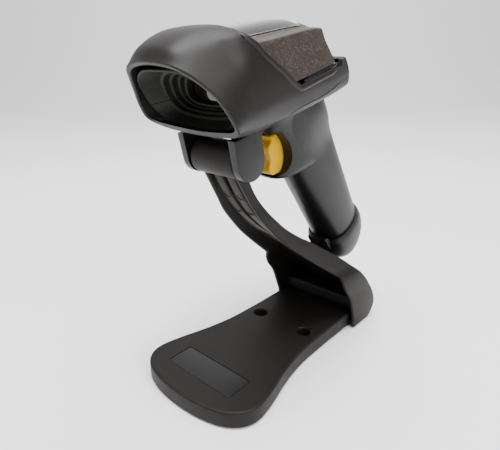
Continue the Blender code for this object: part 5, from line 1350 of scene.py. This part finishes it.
def build_shroud():
    """The stepped funnel behind the mouth of the boot, each step's edge broken, in its two halves."""
    rows = [HOOD_INSIDE[0], HOOD_INSIDE[1]]
    for deep, shallow in zip(HOOD_INSIDE[2::2], HOOD_INSIDE[3::2]):
        rows += [between(deep, rows[-1], 0.06), between(deep, shallow, 0.16)]
        rows += [between(deep, shallow, 0.84), shallow]
    rows.append(HOOD_INSIDE[-1])
    inside = [hood_ring(*row) for row in rows]
    outer_rows = [HOOD_INSIDE[0], HOOD_INSIDE[2], HOOD_INSIDE[6], HOOD_INSIDE[-1]]
    outside = []
    for (a, b, s, h, tilt), grow, shift in zip(outer_rows, (0.4, 1.0, 1.0, 1.0), (0.8, 0.5, 0.5, 0.0)):
        outside.append(hood_ring(a + HOOD_WALL * grow, b + HOOD_WALL * grow, s - shift, h, tilt))
    rings = inside + list(reversed(outside))
    halves = (
        ("shroud_upper", "hood_upper", HOOD_SEAM + GAP / 2, 90.0),
        ("shroud_lower", "hood_lower", -20.0, HOOD_SEAM - GAP / 2),
    )
    for name, node, low, high in halves:
        half = solid(name, rings, hollow=True, smooth=24.0)
        view = [(-60.0, low), (60.0, low), (60.0, high), (-60.0, high)]
        keep(half, side_prism(name + "_side", view))
        fit(half, "scanner", "hood_plastic", node)


def build_pane():
    """The filter pane behind the funnel, with a polished chamfer round its face."""
    outline = rounded_box(15.2, 27.4, 43.6, 3.0)

    def place(x, h, depth):
        return at_head(x, PANE_FRONT - WINDOW_PANE + depth, h)

    pane = slab("filter_pane", outline, 0.0, WINDOW_PANE, place, edge=0.3)
    fit(pane, "scanner", "scan_glass", "scan_window")


def finish_solids():
    """Every solid that stays in view gets its slot's finish, and small turned pieces softened edges."""
    slots = {part["node"]: part["material_slot"] for part in frame["record"]["subparts"]}
    for name, node in frame["nodes"].items():
        node.data.materials.clear()
        node.data.materials.append(FINISHES[slots[name]])
        if node.hide_render:
            continue
        softer = node.modifiers.new("softened_edges", "BEVEL")
        softer.width = 0.15 * MM
        softer.segments = 2
        softer.limit_method = "ANGLE"
        softer.angle_limit = math.radians(40.0)


# ---------------------------------------------------------------- stage

CAMERA_AZIMUTH, CAMERA_ELEVATION, CAMERA_ROLL = 42.03, 20.803, -0.646
CAMERA_PLACE = (171.483, -260.080, 188.217)
CAMERA_LENS = 33.857


def aim(place, target):
    """A matrix at place that looks towards target."""
    direction = Vector(target) - Vector(place)
    return Matrix.Translation(Vector(place)) @ direction.to_track_quat("-Z", "Y").to_matrix().to_4x4()


def area_light(name, place, target, width, height, power, tint="#ffffff"):
    lamp = bpy.data.lights.new(name, "AREA")
    lamp.shape = "RECTANGLE"
    lamp.size, lamp.size_y = width, height
    lamp.energy = power
    lamp.color = srgb(tint)
    made = bpy.data.objects.new(name, lamp)
    bpy.context.scene.collection.objects.link(made)
    made.matrix_world = aim(place, target)
    return made


def build_camera():
    azimuth, elevation, roll = (math.radians(a) for a in (CAMERA_AZIMUTH, CAMERA_ELEVATION, CAMERA_ROLL))
    level_ahead = Vector((-math.sin(azimuth), math.cos(azimuth), 0.0))
    ahead = level_ahead * math.cos(elevation) + Vector((0.0, 0.0, -math.sin(elevation)))
    level_right = Vector((math.cos(azimuth), math.sin(azimuth), 0.0))
    level_up = level_right.cross(ahead)
    right = level_right * math.cos(roll) + level_up * math.sin(roll)
    up = level_up * math.cos(roll) - level_right * math.sin(roll)
    lens = bpy.data.cameras.new("studio_camera")
    lens.lens = CAMERA_LENS
    lens.clip_start = 0.01
    camera = bpy.data.objects.new("studio_camera", lens)
    bpy.context.scene.collection.objects.link(camera)
    turn = Matrix((right, up, -ahead)).transposed().to_4x4()
    camera.matrix_world = Matrix.Translation(at_stand(*CAMERA_PLACE)) @ turn
    bpy.context.scene.camera = camera


def build_studio():
    """A pale floor that sweeps up behind the object, a pale surround and four soft lights."""
    world = bpy.data.worlds.new("pale_surround")
    world.use_nodes = True
    world.node_tree.nodes["Background"].inputs["Color"].default_value = (*srgb("#ffffff"), 1.0)
    world.node_tree.nodes["Background"].inputs["Strength"].default_value = 0.25
    bpy.context.scene.world = world
    made, tree, shader, where = surface("pale_card", "#f4f4f4", 0.9)
    mottle(tree, shader, where, "#f4f4f4", 0.01, 400.0, 0.9, 0.02)
    heading = math.radians(CAMERA_AZIMUTH)
    ahead = Vector((-math.sin(heading), math.cos(heading), 0.0))
    level = Vector((math.cos(heading), math.sin(heading), 0.0))
    flat, bend = 1.2, 0.9
    profile = [(-3.0, -0.0002), (flat, -0.0002)]
    for k in range(1, 13):
        angle = math.radians(90.0 * k / 12)
        profile.append((flat + bend * math.sin(angle), bend * (1.0 - math.cos(angle))))
    profile.append((flat + bend, 3.0))
    thick = profile + [(out + 0.02, up - 0.02) for out, up in reversed(profile)]
    rings = [[ahead * out + level * side + Vector((0, 0, up)) for out, up in thick] for side in (-3.0, 3.0)]
    floor = solid("studio_sweep", rings, flat_caps=True)
    settle(floor)
    floor.data.materials.append(made)
    middle = (0.0, 0.0, 0.1)
    area_light("key_softbox", (0.85, -0.15, 0.60), middle, 0.5, 0.9, 10.0)
    area_light("top_softbox", (-0.1, 0.0, 1.05), middle, 0.9, 0.7, 13.0)
    area_light("front_fill", (-0.5, -0.8, 0.4), middle, 0.8, 0.6, 2.5)
    area_light("sweep_softbox", (0.2, -0.2, 1.9), ahead * 2.0 + Vector((0.0, 0.0, 0.5)), 1.6, 1.0, 70.0)


# ---------------------------------------------------------------- operators


class SCANNER_OT_finishes(bpy.types.Operator):
    """Makes the finishes of plastic, rubber, steel and glass."""

    bl_idname = "scanner.finishes"
    bl_label = "Make finishes"

    def execute(self, context):
        FINISHES.update(make_finishes(context.scene))
        return {"FINISHED"}


class SCANNER_OT_base(bpy.types.Operator):
    """Builds the base shell and its blank plate."""

    bl_idname = "scanner.base"
    bl_label = "Build base"

    def execute(self, context):
        build_base()
        return {"FINISHED"}


class SCANNER_OT_neck(bpy.types.Operator):
    """Builds the S-shaped neck with its barrel, ribs and ejector marks."""

    bl_idname = "scanner.neck"
    bl_label = "Build neck"

    def execute(self, context):
        build_neck()
        build_ejector_marks()
        return {"FINISHED"}


class SCANNER_OT_boot(bpy.types.Operator):
    """Builds the soft boot with its rim, lip and creases."""

    bl_idname = "scanner.boot"
    bl_label = "Build nose boot"

    def execute(self, context):
        build_boot()
        return {"FINISHED"}


class SCANNER_OT_cover(bpy.types.Operator):
    """Builds the textured cover, its window and the side strips."""

    bl_idname = "scanner.cover"
    bl_label = "Build top cover"

    def execute(self, context):
        build_cover()
        build_window()
        build_strips()
        return {"FINISHED"}


class SCANNER_OT_grip(bpy.types.Operator):
    """Builds both halves of the grip and its foot."""

    bl_idname = "scanner.grip"
    bl_label = "Build grip"

    def execute(self, context):
        build_handle_half("grip_half_left", "handle_left_shell", 1)
        build_handle_half("grip_half_right", "handle_right_shell", -1)
        build_foot()
        return {"FINISHED"}


class SCANNER_OT_trigger(bpy.types.Operator):
    """Builds the trigger."""

    bl_idname = "scanner.trigger"
    bl_label = "Build trigger"

    def execute(self, context):
        build_trigger()
        return {"FINISHED"}


class SCANNER_OT_optics(bpy.types.Operator):
    """Builds the light shroud and the filter pane."""

    bl_idname = "scanner.optics"
    bl_label = "Build shroud and pane"

    def execute(self, context):
        build_shroud()
        build_pane()
        return {"FINISHED"}


class SCANNER_OT_solids(bpy.types.Operator):
    """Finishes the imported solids: fasteners, pads, weight, electronics and hinge pieces."""

    bl_idname = "scanner.solids"
    bl_label = "Finish packed solids"

    def execute(self, context):
        finish_solids()
        return {"FINISHED"}


class SCANNER_OT_stage(bpy.types.Operator):
    """Sets up the camera, the floor and the lights."""

    bl_idname = "scanner.stage"
    bl_label = "Set up studio"

    def execute(self, context):
        build_camera()
        build_studio()
        return {"FINISHED"}


OPERATORS = (
    SCANNER_OT_stage, SCANNER_OT_finishes, SCANNER_OT_base, SCANNER_OT_neck, SCANNER_OT_boot,
    SCANNER_OT_cover, SCANNER_OT_grip, SCANNER_OT_trigger, SCANNER_OT_optics, SCANNER_OT_solids,
)


class SCANNER_PT_panel(bpy.types.Panel):
    """Sidebar panel with the builder's steps in their order."""

    bl_idname = "SCANNER_PT_panel"
    bl_label = "Barcode Scanner"
    bl_space_type = "VIEW_3D"
    bl_region_type = "UI"
    bl_category = "Scanner"

    def draw(self, context):
        for operator in OPERATORS:
            self.layout.operator(operator.bl_idname)
        for group in (context.scene.stand_sizes, context.scene.head_sizes, context.scene.finish_colours):
            for name in group.__annotations__:
                self.layout.prop(group, name)


CLASSES = (StandSizes, HeadSizes, FinishColours, *OPERATORS, SCANNER_PT_panel)


def register():
    for cls in CLASSES:
        bpy.utils.register_class(cls)
    bpy.types.Scene.stand_sizes = PointerProperty(type=StandSizes)
    bpy.types.Scene.head_sizes = PointerProperty(type=HeadSizes)
    bpy.types.Scene.finish_colours = PointerProperty(type=FinishColours)


def unregister():
    del bpy.types.Scene.finish_colours
    del bpy.types.Scene.head_sizes
    del bpy.types.Scene.stand_sizes
    for cls in reversed(CLASSES):
        bpy.utils.unregister_class(cls)


def main():
    register()
    for operator in OPERATORS:
        group, name = operator.bl_idname.split(".")
        getattr(getattr(bpy.ops, group), name)()


if __name__ == "__main__":
    main()
